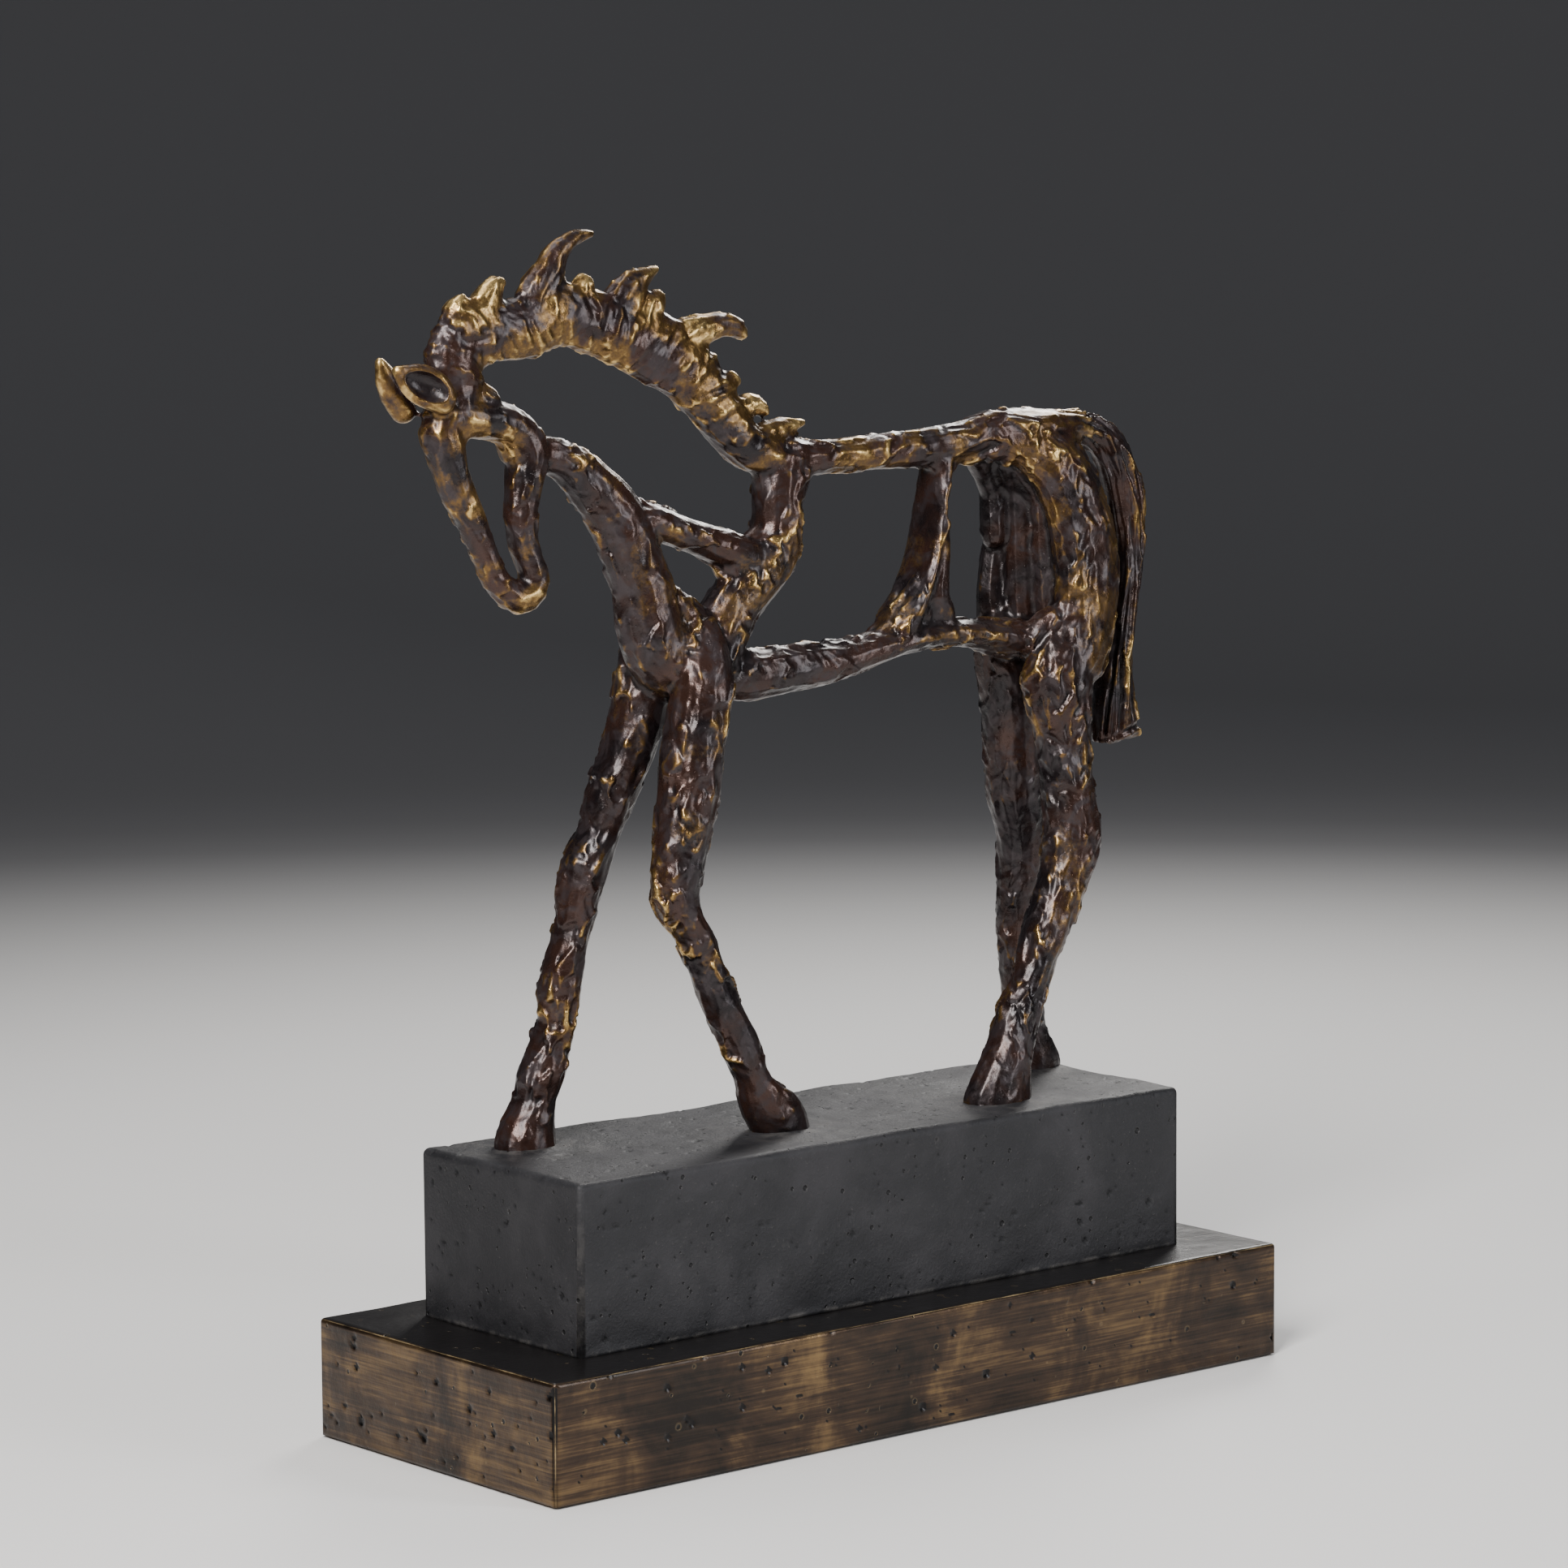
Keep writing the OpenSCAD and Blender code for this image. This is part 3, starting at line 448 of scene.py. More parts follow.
class Skin:
    # a mesh held as arrays while it is carved
    def __init__(self, mesh):
        self.mesh = mesh
        self.count = len(mesh.vertices)
        self.edges = np.empty(len(mesh.edges) * 2, np.int32)
        mesh.edges.foreach_get("vertices", self.edges)
        self.edges = self.edges.reshape(-1, 2)
        self.ends = np.concatenate((self.edges[:, 0], self.edges[:, 1]))
        self.others = np.concatenate((self.edges[:, 1], self.edges[:, 0]))
        self.degree = np.maximum(np.bincount(self.ends, minlength=self.count), 1)
        self.read()

    def read(self):
        place = np.empty(self.count * 3, np.float32)
        self.mesh.vertices.foreach_get("co", place)
        self.place = place.reshape(-1, 3).astype(np.float64)
        normal = np.empty(self.count * 3, np.float32)
        self.mesh.vertex_normals.foreach_get("vector", normal)
        self.normal = normal.reshape(-1, 3).astype(np.float64)

    def write(self, place):
        self.mesh.vertices.foreach_set("co", place.astype(np.float32).ravel())
        self.mesh.update()
        self.read()

    def average(self, values):
        if values.ndim == 1:
            return np.bincount(self.ends, values[self.others], self.count) / self.degree
        return np.stack([self.average(values[:, k]) for k in range(values.shape[1])], axis=1)

    def blur(self, values, rounds, keep=0.3):
        for _ in range(rounds):
            values = keep * values + (1 - keep) * self.average(values)
        return values

    def relax(self, rounds, inward=0.5, outward=-0.52):
        # smooths without shrinking
        place = self.place
        for _ in range(rounds):
            place = place + inward * (self.average(place) - place)
            place = place + outward * (self.average(place) - place)
        return place

    def store(self, name, values):
        layer = self.mesh.attributes.get(name) or self.mesh.attributes.new(name, "FLOAT", "POINT")
        layer.data.foreach_set("value", np.clip(values, 0, 1).astype(np.float32))


class Finder:
    # finds the vertices near a spot through a grid of cells
    def __init__(self, place, size):
        self.size = size
        self.low = place.min(0) - 2 * size
        cell = np.floor((place - self.low) / size).astype(np.int64)
        key = (cell[:, 0] * 2048 + cell[:, 1]) * 2048 + cell[:, 2]
        self.order = np.argsort(key, kind="stable")
        self.key = key[self.order]

    def near(self, spot):
        cell = np.floor((spot - self.low) / self.size).astype(np.int64)
        steps = (-1, 0, 1)
        rows = [((cell[0] + i) * 2048 + cell[1] + j) * 2048 + cell[2] for i in steps for j in steps]
        starts = np.searchsorted(self.key, np.array(rows) - 1, "left")
        stops = np.searchsorted(self.key, np.array(rows) + 1, "right")
        return np.concatenate([self.order[a:b] for a, b in zip(starts, stops)])


def noiseAt(place, size, seed):
    # smooth lattice noise from -1 to 1, with size as the lattice step
    grid = place / size
    cell = np.floor(grid).astype(np.int64)
    part = grid - cell
    part = part * part * (3 - 2 * part)
    total = np.zeros(len(place))
    for i in (0, 1):
        for j in (0, 1):
            for k in (0, 1):
                mark = (cell[:, 0] + i) * 73856093 ^ (cell[:, 1] + j) * 19349663
                mark ^= (cell[:, 2] + k) * 83492791
                mark = (mark ^ seed * 2654435761) & 0xFFFFFFFF
                mark = (mark ^ mark >> 15) * 2246822519 & 0xFFFFFFFF
                mark = (mark ^ mark >> 13) * 3266489917 & 0xFFFFFFFF
                value = ((mark ^ mark >> 16) & 0xFFFF) / 32767.5 - 1
                weight = np.abs(1 - i - part[:, 0]) * np.abs(1 - j - part[:, 1])
                weight = weight * np.abs(1 - k - part[:, 2])
                total += value * weight
    return total


def smoothStep(value, low, high):
    part = np.clip((value - low) / (high - low), 0, 1)
    return part * part * (3 - 2 * part)


# the horse: one remeshed skin over its castings, carved with tool strokes, then parted again

horsePieces = {
    "head": ["head"],
    "nearEar": ["left_ear"],
    "farEar": ["right_ear"],
    "mane": ["neck_crest", "mane_locks"],
    "foreFrame": ["chest", "shoulder_bar", "withers_post"],
    "bodyFrame": ["back_bar", "belly_bar", "girth_rib"],
    "hindBody": ["croup", "left_haunch", "right_haunch", "rump"],
    "tail": ["tail"],
    "leftForeLeg": ["left_fore_leg"],
    "rightForeLeg": ["right_fore_leg"],
    "leftHindLeg": ["left_hind_leg"],
    "rightHindLeg": ["right_hind_leg"],
}

horse = {
    "grain": 0.8 * mm,  # size of the remeshed faces
    "swell": 0.6 * mm,        # makes neighbours overlap before they are joined
    "smoothing": 10,
    "creaseRounds": 30,
    "axisReach": 13 * mm,     # how far round a spot the run of its limb is judged
    "samples": 12000,         # spots where a stroke may fall
    "shelterReach": 45 * mm,
    "throughReach": 16 * mm,
    "fullDepthAt": 13 * mm,   # limbs thinner than this take shallower cuts
    "hoofTop": (14 * mm, 34 * mm),
    "deepest": 2.0 * mm,
    "highest": 1.6 * mm,
}

# the strokes over each casting: gold is how much is rubbed bright, depth scales the cuts; the far-side
# castings, above all the right haunch and right hind leg, get less gold as painted shade
castingLook = {
    "head": {"gold": 0.8, "depth": 0.6},
    "left_ear": {"gold": 1.3, "depth": 0.25},
    "right_ear": {"gold": 0.8, "depth": 0.25},
    "neck_crest": {"gold": 0.8, "depth": 0.85},
    "mane_locks": {"gold": 1.05, "depth": 0.6},
    "chest": {"gold": 0.45, "depth": 0.7},
    "shoulder_bar": {"gold": 0.55, "depth": 0.8},
    "withers_post": {"gold": 0.5, "depth": 0.9},
    "back_bar": {"gold": 0.7, "depth": 0.8},
    "belly_bar": {"gold": 0.3, "depth": 0.8},
    "girth_rib": {"gold": 0.45, "depth": 0.6},
    "croup": {"gold": 0.6, "depth": 0.8},
    "left_haunch": {"gold": 0.6, "depth": 0.9},
    # painted shade: the far haunch's inner side is kept nearly without gold
    "right_haunch": {"gold": 0.1, "depth": 0.4},
    "rump": {"gold": 0.3, "depth": 0.9},
    "tail": {"gold": 0.45, "depth": 0.9},
    "left_fore_leg": {"gold": 0.4, "depth": 1.0},
    "right_fore_leg": {"gold": 0.3, "depth": 1.0},
    "left_hind_leg": {"gold": 0.4, "depth": 1.0},
    # painted shade: the far hind leg is kept nearly without gold
    "right_hind_leg": {"gold": 0.05, "depth": 0.8},
}

# kinds of stroke: half length, half width, depth, how many, how far they turn from the limb's run
strokeKinds = {
    "pad": {"length": 14.0, "width": 5.5, "depth": 1.0, "count": 520, "turn": 0.4},
    "scoop": {"length": 17.0, "width": 5.5, "depth": 1.3, "count": 900, "turn": 0.35},
    "smallScoop": {"length": 6.0, "width": 2.4, "depth": 0.75, "count": 3200, "turn": 0.6},
    "hair": {"length": 22.0, "width": 1.6, "depth": 2.2, "count": 900, "turn": 0.03},
    "lockHair": {"length": 12.0, "width": 2.4, "depth": 1.3, "count": 420, "turn": 0.25},
}


def castingCopy(name, swell):
    bm = bmesh.new()
    bm.from_mesh(frame["nodes"][name].data)
    bmesh.ops.remove_doubles(bm, verts=bm.verts, dist=2e-6)
    bm.normal_update()
    for vert in bm.verts:
        vert.co += vert.normal * swell
    mesh = bpy.data.meshes.new(name + "Copy")
    bm.to_mesh(mesh)
    bm.free()
    return mesh


def joinedSkin(names, swell, grain):
    bm = bmesh.new()
    owner = []
    for index, name in enumerate(names):
        mesh = castingCopy(name, swell)
        bm.from_mesh(mesh)
        owner += [index] * len(mesh.polygons)
        bpy.data.meshes.remove(mesh)
    joined = bpy.data.meshes.new("horseSkin")
    bm.to_mesh(joined)
    tree = BVHTree.FromBMesh(bm)
    bm.free()
    body = linkObject("horseSkin", joined)
    remesh = body.modifiers.new("remesh", "REMESH")
    remesh.mode = "VOXEL"
    remesh.voxel_size = grain
    graph = bpy.context.evaluated_depsgraph_get()
    mesh = bpy.data.meshes.new_from_object(body.evaluated_get(graph))
    body.modifiers.clear()
    body.data = mesh
    return body, tree, np.array(owner)


def nearestCasting(skin, tree, owner):
    found = np.empty(skin.count, np.int32)
    for index, spot in enumerate(skin.place):
        found[index] = tree.find_nearest(spot)[2]
    return owner[found]


def shelter(body, skin, reach):
    # how much of each spot's outlook is closed by the statue itself, from 0 to 1
    tree = BVHTree.FromObject(body, bpy.context.evaluated_depsgraph_get())
    rays, every = 6, 6
    tilts = rng.normal(0.0, 0.55, (rays, 3))
    closed, known = np.zeros(skin.count), np.zeros(skin.count)
    for index in range(0, skin.count, every):
        start = Vector(skin.place[index] + skin.normal[index] * 0.6 * mm)
        for tilt in tilts:
            away = skin.normal[index] + tilt
            if tree.ray_cast(start, Vector(away / np.linalg.norm(away)), reach)[0] is not None:
                closed[index] += 1 / rays
        known[index] = 1.0
    return skin.blur(closed, 12) / np.maximum(skin.blur(known, 12), 1e-6)


def wallThickness(body, skin, reach):
    # how far it is through the casting, measured at some vertices and spread to the rest
    tree = BVHTree.FromObject(body, bpy.context.evaluated_depsgraph_get())
    every = 4
    depth, known = np.zeros(skin.count), np.zeros(skin.count)
    for index in range(0, skin.count, every):
        away = -skin.normal[index]
        hit = tree.ray_cast(Vector(skin.place[index] + away * 0.4 * mm), Vector(away), reach)
        depth[index] = reach if hit[0] is None else hit[3]
        known[index] = 1.0
    return skin.blur(depth, 8) / np.maximum(skin.blur(known, 8), 1e-6)


def limbAxes(place, normal, reach):
    # the run of the limb at each sample: the direction its normals avoid
    outer = np.einsum("ni,nj->nij", normal, normal).reshape(-1, 9)
    tensor = np.empty_like(outer)
    for start in range(0, len(place), 1500):
        block = place[start:start + 1500]
        apart = ((block[:, None, :] - place[None, :, :]) ** 2).sum(2)
        weight = np.exp(-apart / (2 * (reach / 1.6) ** 2))
        tensor[start:start + 1500] = weight @ outer
    values, vectors = np.linalg.eigh(tensor.reshape(-1, 3, 3))
    return vectors[:, :, 0]


def strokeFrames(spots, normals, runs, turn):
    # two tangents at each spot, the first one near the run
    angle = rng.normal(0.0, turn, len(spots))
    along = runs - normals * (runs * normals).sum(1)[:, None]
    along /= np.maximum(np.linalg.norm(along, axis=1), 1e-6)[:, None]
    along *= np.where(rng.random(len(spots)) < 0.5, -1.0, 1.0)[:, None]
    across = np.cross(normals, along)
    turned = along * np.cos(angle)[:, None] + across * np.sin(angle)[:, None]
    return turned, np.cross(normals, turned)


def carve(skin, height, finder, spots, normals, along, across, kind, scale, add=False):
    # cuts or adds one stroke after another in the height above the skin
    for index in range(len(spots)):
        near = finder.near(spots[index])
        offset = skin.place[near] - spots[index]
        facing = skin.normal[near] @ normals[index]
        size = 0.75 + 0.5 * kind["spread"][index]
        length = kind["length"] * mm * size
        width = kind["width"] * mm * (0.8 + 0.4 * kind["narrow"][index])
        u = (offset @ along[index]) / length
        v = (offset @ across[index]) / width
        w = (offset @ normals[index]) / (1.6 * width)
        far = u * u + v * v + w * w
        mine = (far < 1.7) & (facing > 0.15)
        near, u, v, far, facing = near[mine], u[mine], v[mine], far[mine], facing[mine]
        if len(near) < 3:
            continue
        ground = height[near[np.argmin(far)]] * 0.6
        depth = kind["depth"] * mm * scale[near] * size
        fade = smoothStep(facing, 0.15, 0.6)
        if add:
            pad = ground + depth * np.clip(1 - far ** 3, -1, 1)
            height[near] = np.where(far < 1, np.maximum(height[near], pad * fade), height[near])
        else:
            strength = np.clip(0.85 - 0.35 * u, 0.3, 1.2)
            floor = ground - depth * strength * (1 - far)
            inside = far < 1
            lip = 0.07 * depth * strength * np.clip(1 - np.abs(far - 1.25) / 0.4, 0, 1)
            cut = np.minimum(height[near], height[near] * (1 - fade) + floor * fade)
            height[near] = np.where(inside, cut, height[near] + lip * fade)
    return height


def strokesOf(kind, count):
    made = dict(kind)
    made["spread"] = rng.random(count)
    made["narrow"] = rng.random(count)
    return made


def makeHorse(settings):
    names = [name for group in horsePieces.values() for name in group]
    body, tree, owner = joinedSkin(names, settings["swell"], settings["grain"])
    skin = Skin(body.data)
    print("horse remeshed:", skin.count, "vertices")
    casting = nearestCasting(skin, tree, owner)
    skin.write(skin.place - skin.normal * (settings["swell"] - 0.1 * mm))
    skin.write(skin.relax(settings["smoothing"]))
    # creases between castings are filled like wiped clay
    for _ in range(settings["creaseRounds"]):
        pull = skin.average(skin.place) - skin.place
        lift = (pull * skin.normal).sum(1)
        lift = skin.blur(lift, 2)
        mask = smoothStep(lift, 0.02 * mm, 0.08 * mm)
        skin.place = skin.place + pull * (0.6 * mask)[:, None]
    skin.write(skin.place)
    through = wallThickness(body, skin, settings["throughReach"])
    thin = np.clip(through / settings["fullDepthAt"], 0.22, 1.0)
    # occlusion of each spot by the statue itself: painted as shade in the finish, and it also makes the cuts
    # shallower
    occlusionShade = smoothStep(shelter(body, skin, settings["shelterReach"]), 0.25, 0.75)
    look = {}
    for part in ("gold", "depth"):
        values = np.array([castingLook[name][part] for name in names])
        look[part] = skin.blur(values[casting].astype(float), 14)
    # the hooves are dark and smoother than the legs
    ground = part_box("plinth_block")[1].z
    hoof = 1 - smoothStep(skin.place[:, 2] - ground, *settings["hoofTop"])
    look["gold"] *= 1 - 0.9 * hoof
    look["depth"] *= 1 - 0.6 * hoof
    print("horse measured")

    picked = rng.choice(skin.count, settings["samples"], replace=False)
    spots, normals = skin.place[picked], skin.normal[picked]
    runs = limbAxes(spots, normals, settings["axisReach"])
    owners = np.array(names)[casting[picked]]
    onLocks = owners == "mane_locks"
    onCrest = owners == "neck_crest"
    onTail = owners == "tail"
    # on the crest the strokes fan out from the inside of the neck's arch
    low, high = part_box("neck_crest")
    centre = np.array([low.x * 0.55 + high.x * 0.45, 0.0, low.z * 0.8 + high.z * 0.2])
    fan = spots - centre
    fan[:, 1] = 0
    fan /= np.linalg.norm(fan, axis=1)[:, None]
    runs[onCrest] = fan[onCrest]
    plain = ~(onLocks | onCrest | onTail)
    wide, narrow = Finder(skin.place, 16 * mm), Finder(skin.place, 8 * mm)
    height = np.zeros(skin.count)
    scale = look["depth"] * thin * (1 - 0.5 * occlusionShade)

    def run(name, where, share=1.0, add=False):
        pool = np.flatnonzero(where)
        kind = strokeKinds[name]
        count = int(kind["count"] * share)
        chosen = rng.choice(pool, count)
        along, across = strokeFrames(spots[chosen], normals[chosen], runs[chosen], kind["turn"])
        finder = wide if kind["length"] > 7 else narrow
        carve(skin, height, finder, spots[chosen], normals[chosen], along, across,
              strokesOf(kind, count), scale, add)

    run("scoop", plain, 0.5)
    run("pad", plain, 1.0, True)
    run("scoop", plain, 0.5)
    run("smallScoop", plain)
    run("scoop", onCrest, 0.10)
    run("hair", onTail)
    run("lockHair", onLocks | onCrest)
    run("smallScoop", onLocks | onCrest, 0.15)
    # the cuts keep the casting as thick as it was
    height = height - 0.9 * skin.blur(height, 60, 0.1)
    height = np.clip(height, -settings["deepest"], settings["highest"])
    rough = 0.22 * noiseAt(skin.place, 4.5 * mm, 5) + 0.08 * noiseAt(skin.place, 2.2 * mm, 6)
    height += rough * mm * scale
    skin.write(skin.place + skin.normal * skin.blur(height, 1, 0.6)[:, None])
    print("strokes carved")

    # ridges and hollows for the finish
    smooth = skin.blur(skin.place, 3)
    fine = skin.blur(((skin.place - smooth) * skin.normal).sum(1), 1)
    broad = skin.blur(((skin.place - skin.blur(smooth, 16)) * skin.normal).sum(1), 1)
    wear = 0.25 * smoothStep(fine, 0.0, 0.14 * mm) + 0.75 * smoothStep(broad, 0.0, 0.75 * mm)
    hollow = smoothStep(-broad, 0.0, 0.6 * mm)
    skin.store("wear", wear)
    skin.store("hollow", hollow)
    skin.store("gold", look["gold"])
    skin.store("occlusionShade", occlusionShade)
    return body, skin, casting, names


def faceGroups(skin, casting, names):
    # each face goes to the piece whose casting lies nearest
    groups = list(horsePieces.values())
    groupOf = np.array([next(i for i, g in enumerate(groups) if name in g) for name in names])
    share = skin.blur(np.eye(len(groups))[groupOf[casting]], 8)
    corners = np.empty(len(skin.mesh.loops), np.int32)
    skin.mesh.loops.foreach_get("vertex_index", corners)
    starts = np.empty(len(skin.mesh.polygons), np.int32)
    skin.mesh.polygons.foreach_get("loop_start", starts)
    return np.add.reduceat(share[corners], starts, axis=0).argmax(1).astype(np.int32)


def partHorse(body, skin, casting, names):
    # one marker material for each piece, and the skin is parted along the markers
    skin.mesh.materials.clear()
    for group in horsePieces:
        skin.mesh.materials.append(bpy.data.materials.new(group + "Marker"))
    skin.mesh.polygons.foreach_set("material_index", faceGroups(skin, casting, names))
    layer = skin.mesh.attributes.new("skinNormal", "FLOAT_VECTOR", "POINT")
    layer.data.foreach_set("vector", skin.normal.astype(np.float32).ravel())
    for other in bpy.context.view_layer.objects:
        other.select_set(False)
    body.select_set(True)
    bpy.context.view_layer.objects.active = body
    bpy.ops.object.mode_set(mode="EDIT")
    bpy.ops.mesh.select_all(action="SELECT")
    bpy.ops.mesh.separate(type="MATERIAL")
    bpy.ops.object.mode_set(mode="OBJECT")
    material = horseBronze(horseFinish)
    parts = [made for made in bpy.context.view_layer.objects if made.select_get()]
    for part in parts:
        marker = part.data.materials[0]
        finishPart(part, marker.name.removesuffix("Marker"), material)
        bpy.data.materials.remove(marker)


def closeEnds(mesh):
    bm = bmesh.new()
    bm.from_mesh(mesh)
    openEdges = [edge for edge in bm.edges if edge.is_boundary]
    caps = bmesh.ops.holes_fill(bm, edges=openEdges, sides=0)["faces"]
    bmesh.ops.poke(bm, faces=caps)
    bm.to_mesh(mesh)
    bm.free()


def finishPart(part, name, material):
    mesh = part.data
    part.name = mesh.name = name
    mesh.materials.clear()
    mesh.materials.append(material)
    closeEnds(mesh)
    mesh.shade_smooth()
    # the shading runs on over the joints between the pieces
    normal = np.empty(len(mesh.vertices) * 3, np.float32)
    mesh.attributes["skinNormal"].data.foreach_get("vector", normal)
    mesh.normals_split_custom_set_from_vertices(normal.reshape(-1, 3).tolist())
    mesh.attributes.remove(mesh.attributes["skinNormal"])
    for polygon in mesh.polygons:
        polygon.material_index = 0
    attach(part, "root")
    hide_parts(*horsePieces[name])
    print(name, len(mesh.polygons), "faces")


partHorse(*makeHorse(horse))


# block and slab: bevelled boxes cut fine, then worn and pitted

block = {
    "node": "plinth_block",
    "bevel": 3.0 * mm,
    "step": 1.3 * mm,
    "wall": 6 * mm,
    "top": 8 * mm,
    "wave": 0.8 * mm,
    "pits": 420,
    "pitRadius": (0.9, 2.0),
    "pitDepth": 0.9,
}

slab = {
    "node": "base_slab",
    "bevel": 2.0 * mm,
    "step": 1.3 * mm,
    "wall": 6 * mm,
    "top": 6 * mm,
    "wave": 0.25 * mm,
    "pits": 260,
    "pitRadius": (0.9, 2.4),
    "pitDepth": 0.9,
}


def fineBox(settings):
    low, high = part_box(settings["node"])
    bm = bmesh.new()
    bmesh.ops.create_cube(bm, size=1.0)
    bmesh.ops.scale(bm, vec=high - low, verts=bm.verts)
    bmesh.ops.translate(bm, vec=(low + high) / 2, verts=bm.verts)
    # hollow underside
    under = [face for face in bm.faces if face.normal.z < -0.5]
    bmesh.ops.inset_region(bm, faces=under, thickness=settings["wall"], use_even_offset=True)
    sunk = bmesh.ops.extrude_face_region(bm, geom=under)
    raised = [item for item in sunk["geom"] if isinstance(item, bmesh.types.BMVert)]
    bmesh.ops.translate(bm, vec=(0, 0, high.z - low.z - settings["top"]), verts=raised)
    bmesh.ops.delete(bm, geom=under, context="FACES")
    # the corners and the top edges are rounded
    rounded = []
    for edge in bm.edges:
        a, b = (vert.co for vert in edge.verts)
        outside = all(min(abs(spot.x - low.x), abs(spot.x - high.x)) < 1e-6
                      and min(abs(spot.y - low.y), abs(spot.y - high.y)) < 1e-6 for spot in (a, b))
        upright = abs(a.z - b.z) > 1e-4
        onTop = a.z > high.z - 1e-6 and b.z > high.z - 1e-6
        if outside and (upright or onTop):
            rounded.append(edge)
    bmesh.ops.bevel(bm, geom=rounded, offset=settings["bevel"], offset_type="OFFSET", segments=4,
                    profile=0.5, affect="EDGES", material=-1)
    bm.normal_update()
    # outside faces are cut into small squares, one direction at a time
    for axis in range(3):
        span = (high - low)[axis]
        cuts = int(span / settings["step"])
        chosen = []
        for edge in bm.edges:
            a, b = (vert.co for vert in edge.verts)
            gap = b - a
            if abs(gap[axis]) < 0.9 * span - 2 * settings["bevel"] or gap.length > abs(gap[axis]) * 1.001:
                continue
            middle = (a + b) / 2
            inside = (low.x + 1e-4 < middle.x < high.x - 1e-4 and low.y + 1e-4 < middle.y < high.y - 1e-4
                      and middle.z < high.z - settings["bevel"] * 1.01)
            if not inside:
                chosen.append(edge)
        bmesh.ops.subdivide_edges(bm, edges=chosen, cuts=cuts, use_grid_fill=True)
    mesh = bpy.data.meshes.new(settings["node"] + "Skin")
    bmesh.ops.recalc_face_normals(bm, faces=bm.faces)
    bm.to_mesh(mesh)
    bm.free()
    return mesh, low, high


def punchPits(skin, height, settings, spots):
    # round pits, with a faint raised rim
    finder = Finder(skin.place, 4 * mm)
    small, large = settings["pitRadius"]
    for spot in spots:
        near = finder.near(skin.place[spot])
        offset = skin.place[near] - skin.place[spot]
        radius = (small + (large - small) * rng.random() ** 2.5) * mm
        squash = 0.7 + 0.3 * rng.random()
        far = (offset[:, 0] ** 2 + offset[:, 1] ** 2 + (offset[:, 2] / squash) ** 2) / radius ** 2
        facing = skin.normal[near] @ skin.normal[spot]
        mine = (far < 2.2) & (facing > 0.5)
        near, far = near[mine], far[mine]
        depth = settings["pitDepth"] * mm * min(1.0, radius / (1.2 * mm))
        height[near] -= depth * np.clip(1 - far, 0, 1) ** 0.7
        height[near] += 0.12 * depth * np.clip(1 - np.abs(far - 1.3) / 0.6, 0, 1)
    return height


def edgeWear(place, low, high, reach):
    # nearness to the box's outer edges: two faces close at once
    gaps = np.sort(np.stack([np.minimum(place[:, 0] - low.x, high.x - place[:, 0]),
                             np.minimum(place[:, 1] - low.y, high.y - place[:, 1]),
                             high.z - place[:, 2]], axis=1), axis=1)
    return 1 - smoothStep(gaps[:, 1], 0.3 * reach, reach)


def outerFaces(place, low, high, depth):
    # true on the four sides and the top, false on the walls of the hollow
    sides = (np.abs(place[:, 0] - low.x) < depth) | (np.abs(place[:, 0] - high.x) < depth)
    sides |= (np.abs(place[:, 1] - low.y) < depth) | (np.abs(place[:, 1] - high.y) < depth)
    return sides | (place[:, 2] > high.z - depth)


def makeBlock(settings):
    mesh, low, high = fineBox(settings)
    skin = Skin(mesh)
    outer = smoothStep(skin.place[:, 2], low.z + 0.5 * mm, low.z + 4 * mm)
    rim = outerFaces(skin.place, low, high, 3 * mm)
    height = settings["wave"] * noiseAt(skin.place, 26 * mm, 3) + 0.18 * mm * noiseAt(skin.place, 7 * mm, 4)
    height += 0.06 * mm * noiseAt(skin.place, 2.6 * mm, 8)
    # the top swells round each hoof
    upward = smoothStep(skin.normal[:, 2], 0.5, 0.9) * (skin.place[:, 2] > high.z - 3 * mm)
    halo = np.zeros(skin.count)
    for leg in ("left_fore_leg", "right_fore_leg", "left_hind_leg", "right_hind_leg"):
        centre = hoofCentre(leg)
        far = np.hypot(skin.place[:, 0] - centre[0], skin.place[:, 1] - centre[1])
        height += 1.0 * mm * upward * np.exp(-(far / (19 * mm)) ** 2)
        halo = np.maximum(halo, np.exp(-(far / (26 * mm)) ** 2) * upward)
    # a pale line of filler round the foot
    halo = np.maximum(halo, 1 - smoothStep(skin.place[:, 2], low.z + 1.2 * mm, low.z + 2.6 * mm))
    free = np.flatnonzero(rim & (skin.place[:, 2] > low.z + 3 * mm))
    spots = rng.choice(free, settings["pits"], replace=False)
    pitted = punchPits(skin, np.zeros(skin.count), settings, spots)
    skin.store("hollow", smoothStep(-pitted, 0.15 * mm, 0.5 * mm))
    skin.store("wear", edgeWear(skin.place, low, high, 1.6 * mm))
    skin.store("halo", halo)
    skin.write(skin.place + skin.normal * ((height + pitted) * outer * rim)[:, None])
    mesh.shade_smooth()
    finishBox(mesh, "plinthBlock", "plinth_block", blockIron(blockFinish))


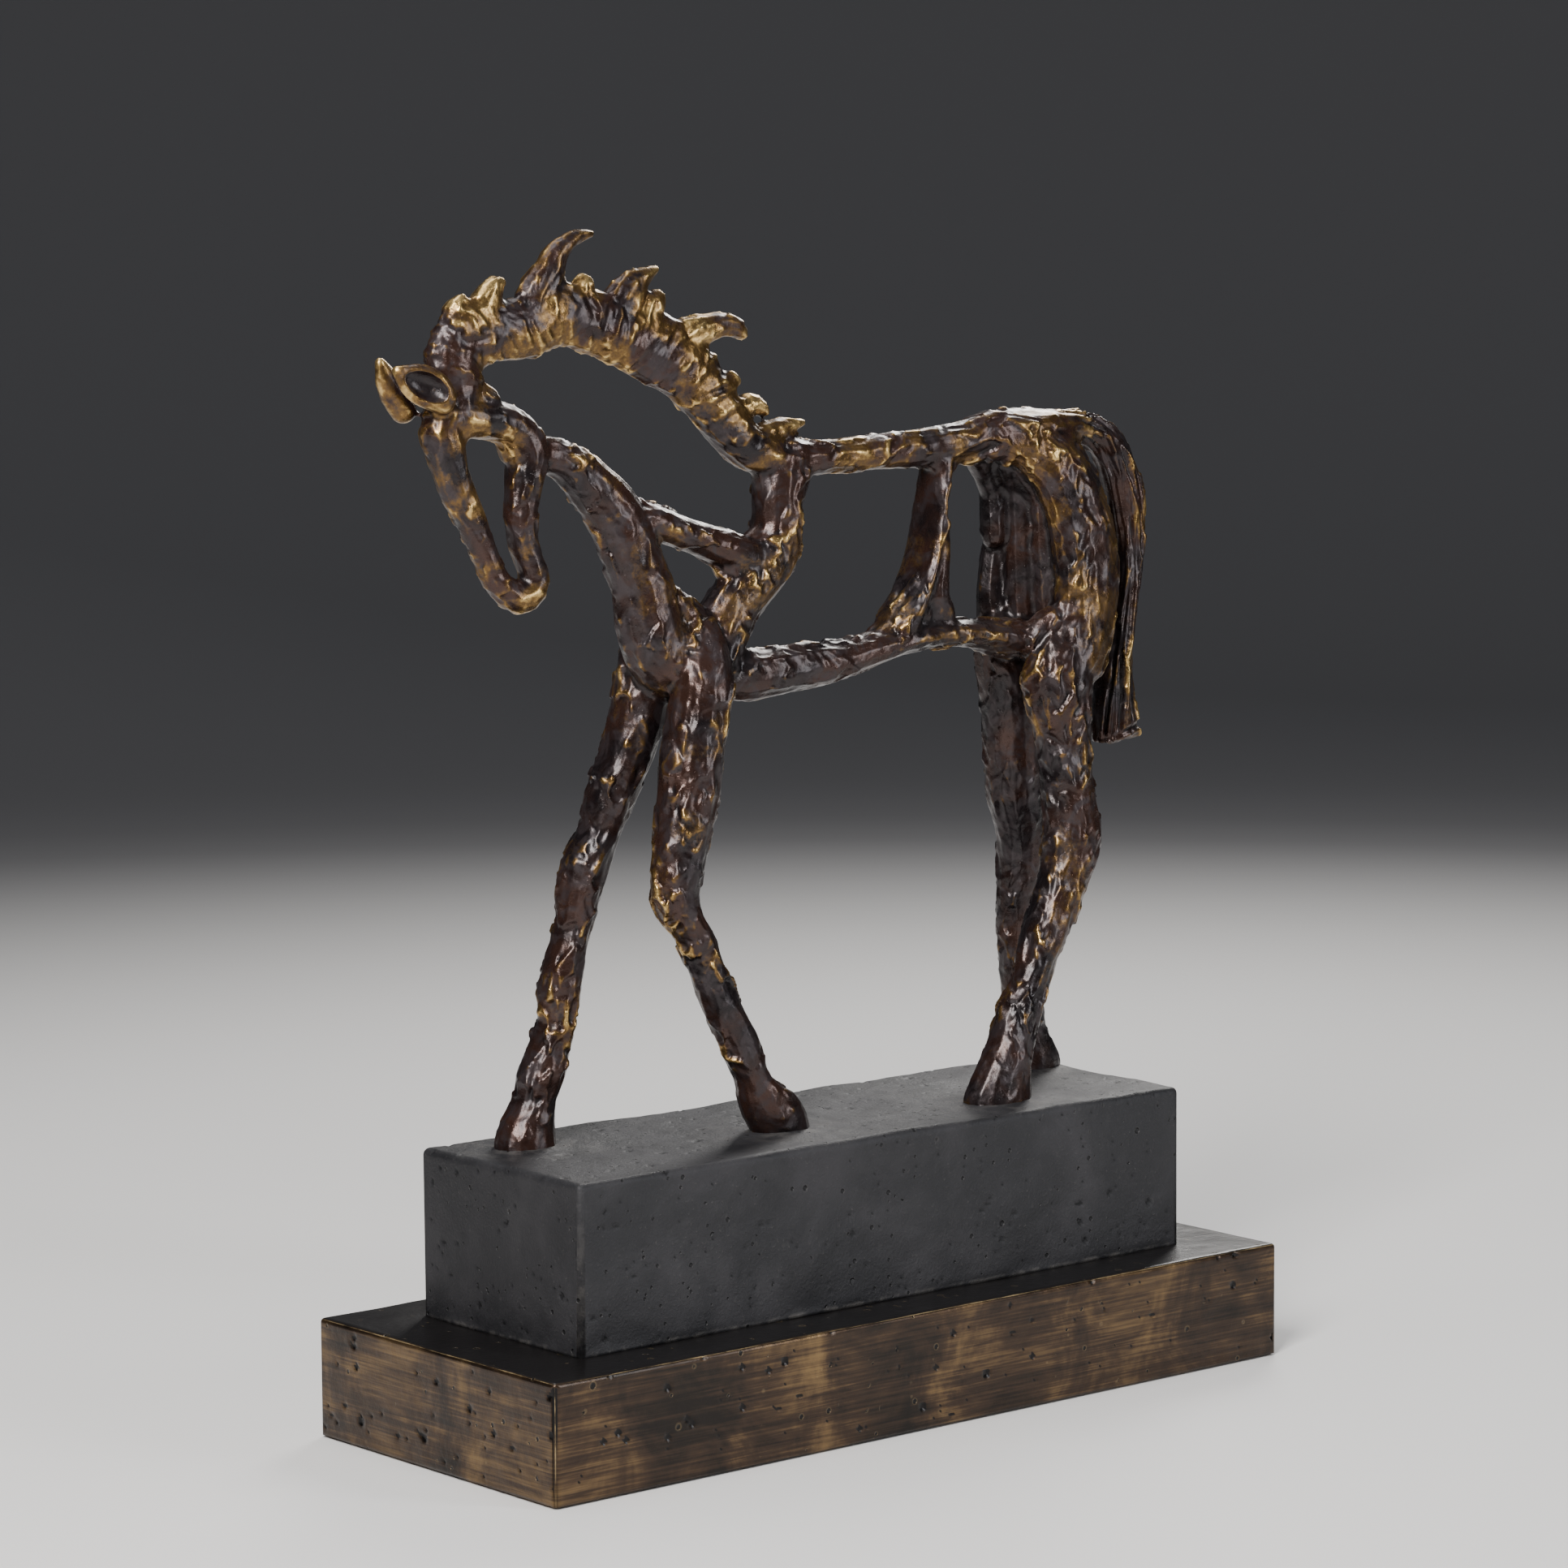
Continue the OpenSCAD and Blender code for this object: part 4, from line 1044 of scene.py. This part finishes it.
def hoofCentre(leg):
    # the middle of the leg's lowest centimetre
    mesh = frame["nodes"][leg].data
    place = np.empty(len(mesh.vertices) * 3, np.float32)
    mesh.vertices.foreach_get("co", place)
    place = place.reshape(-1, 3)
    foot = place[place[:, 2] < place[:, 2].min() + 10 * mm]
    return (foot.min(0) + foot.max(0)) / 2


def finishBox(mesh, name, node, material):
    mesh.materials.append(material)
    piece = linkObject(name, mesh)
    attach(piece, "root")
    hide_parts(node)
    print(name, len(mesh.polygons), "faces")


def makeSlab(settings):
    mesh, low, high = fineBox(settings)
    skin = Skin(mesh)
    rim = outerFaces(skin.place, low, high, 3 * mm)
    outer = smoothStep(skin.place[:, 2], low.z + 0.2 * mm, low.z + 2 * mm)
    height = settings["wave"] * noiseAt(skin.place, 30 * mm, 13)
    height += 0.10 * mm * noiseAt(skin.place, 8 * mm, 14)
    side = np.abs(skin.normal[:, 2]) < 0.5
    free = np.flatnonzero(rim & side & (skin.place[:, 2] > low.z + 3 * mm))
    spots = rng.choice(free, settings["pits"], replace=False)
    pitted = punchPits(skin, np.zeros(skin.count), settings, spots)
    skin.store("hollow", smoothStep(-pitted, 0.15 * mm, 0.5 * mm))
    skin.store("wear", edgeWear(skin.place, low, high, 1.5 * mm))
    skin.store("top", smoothStep(skin.place[:, 2], high.z - 1.2 * mm, high.z - 0.2 * mm)
               * smoothStep(skin.normal[:, 2], 0.5, 0.9))
    skin.write(skin.place + skin.normal * ((height + pitted) * outer * rim)[:, None])
    mesh.shade_smooth()
    finishBox(mesh, "baseSlab", "base_slab", slabBronze(slabFinish))


makeBlock(block)
makeSlab(slab)


# the hidden hardware and the felt keep their shapes and take their finish

hardware = ("base_cover", "cover_screws", "plinth_screws", "plinth_washers",
            "hoof_studs", "stud_washers", "stud_nuts")


def finishCarried():
    steel, felt = turnedSteel(), greenFelt()
    for name, material in [(name, steel) for name in hardware] + [("felt_pad", felt)]:
        materials = frame["nodes"][name].data.materials
        materials.clear()
        materials.append(material)
    print("carried nodes finished")


finishCarried()
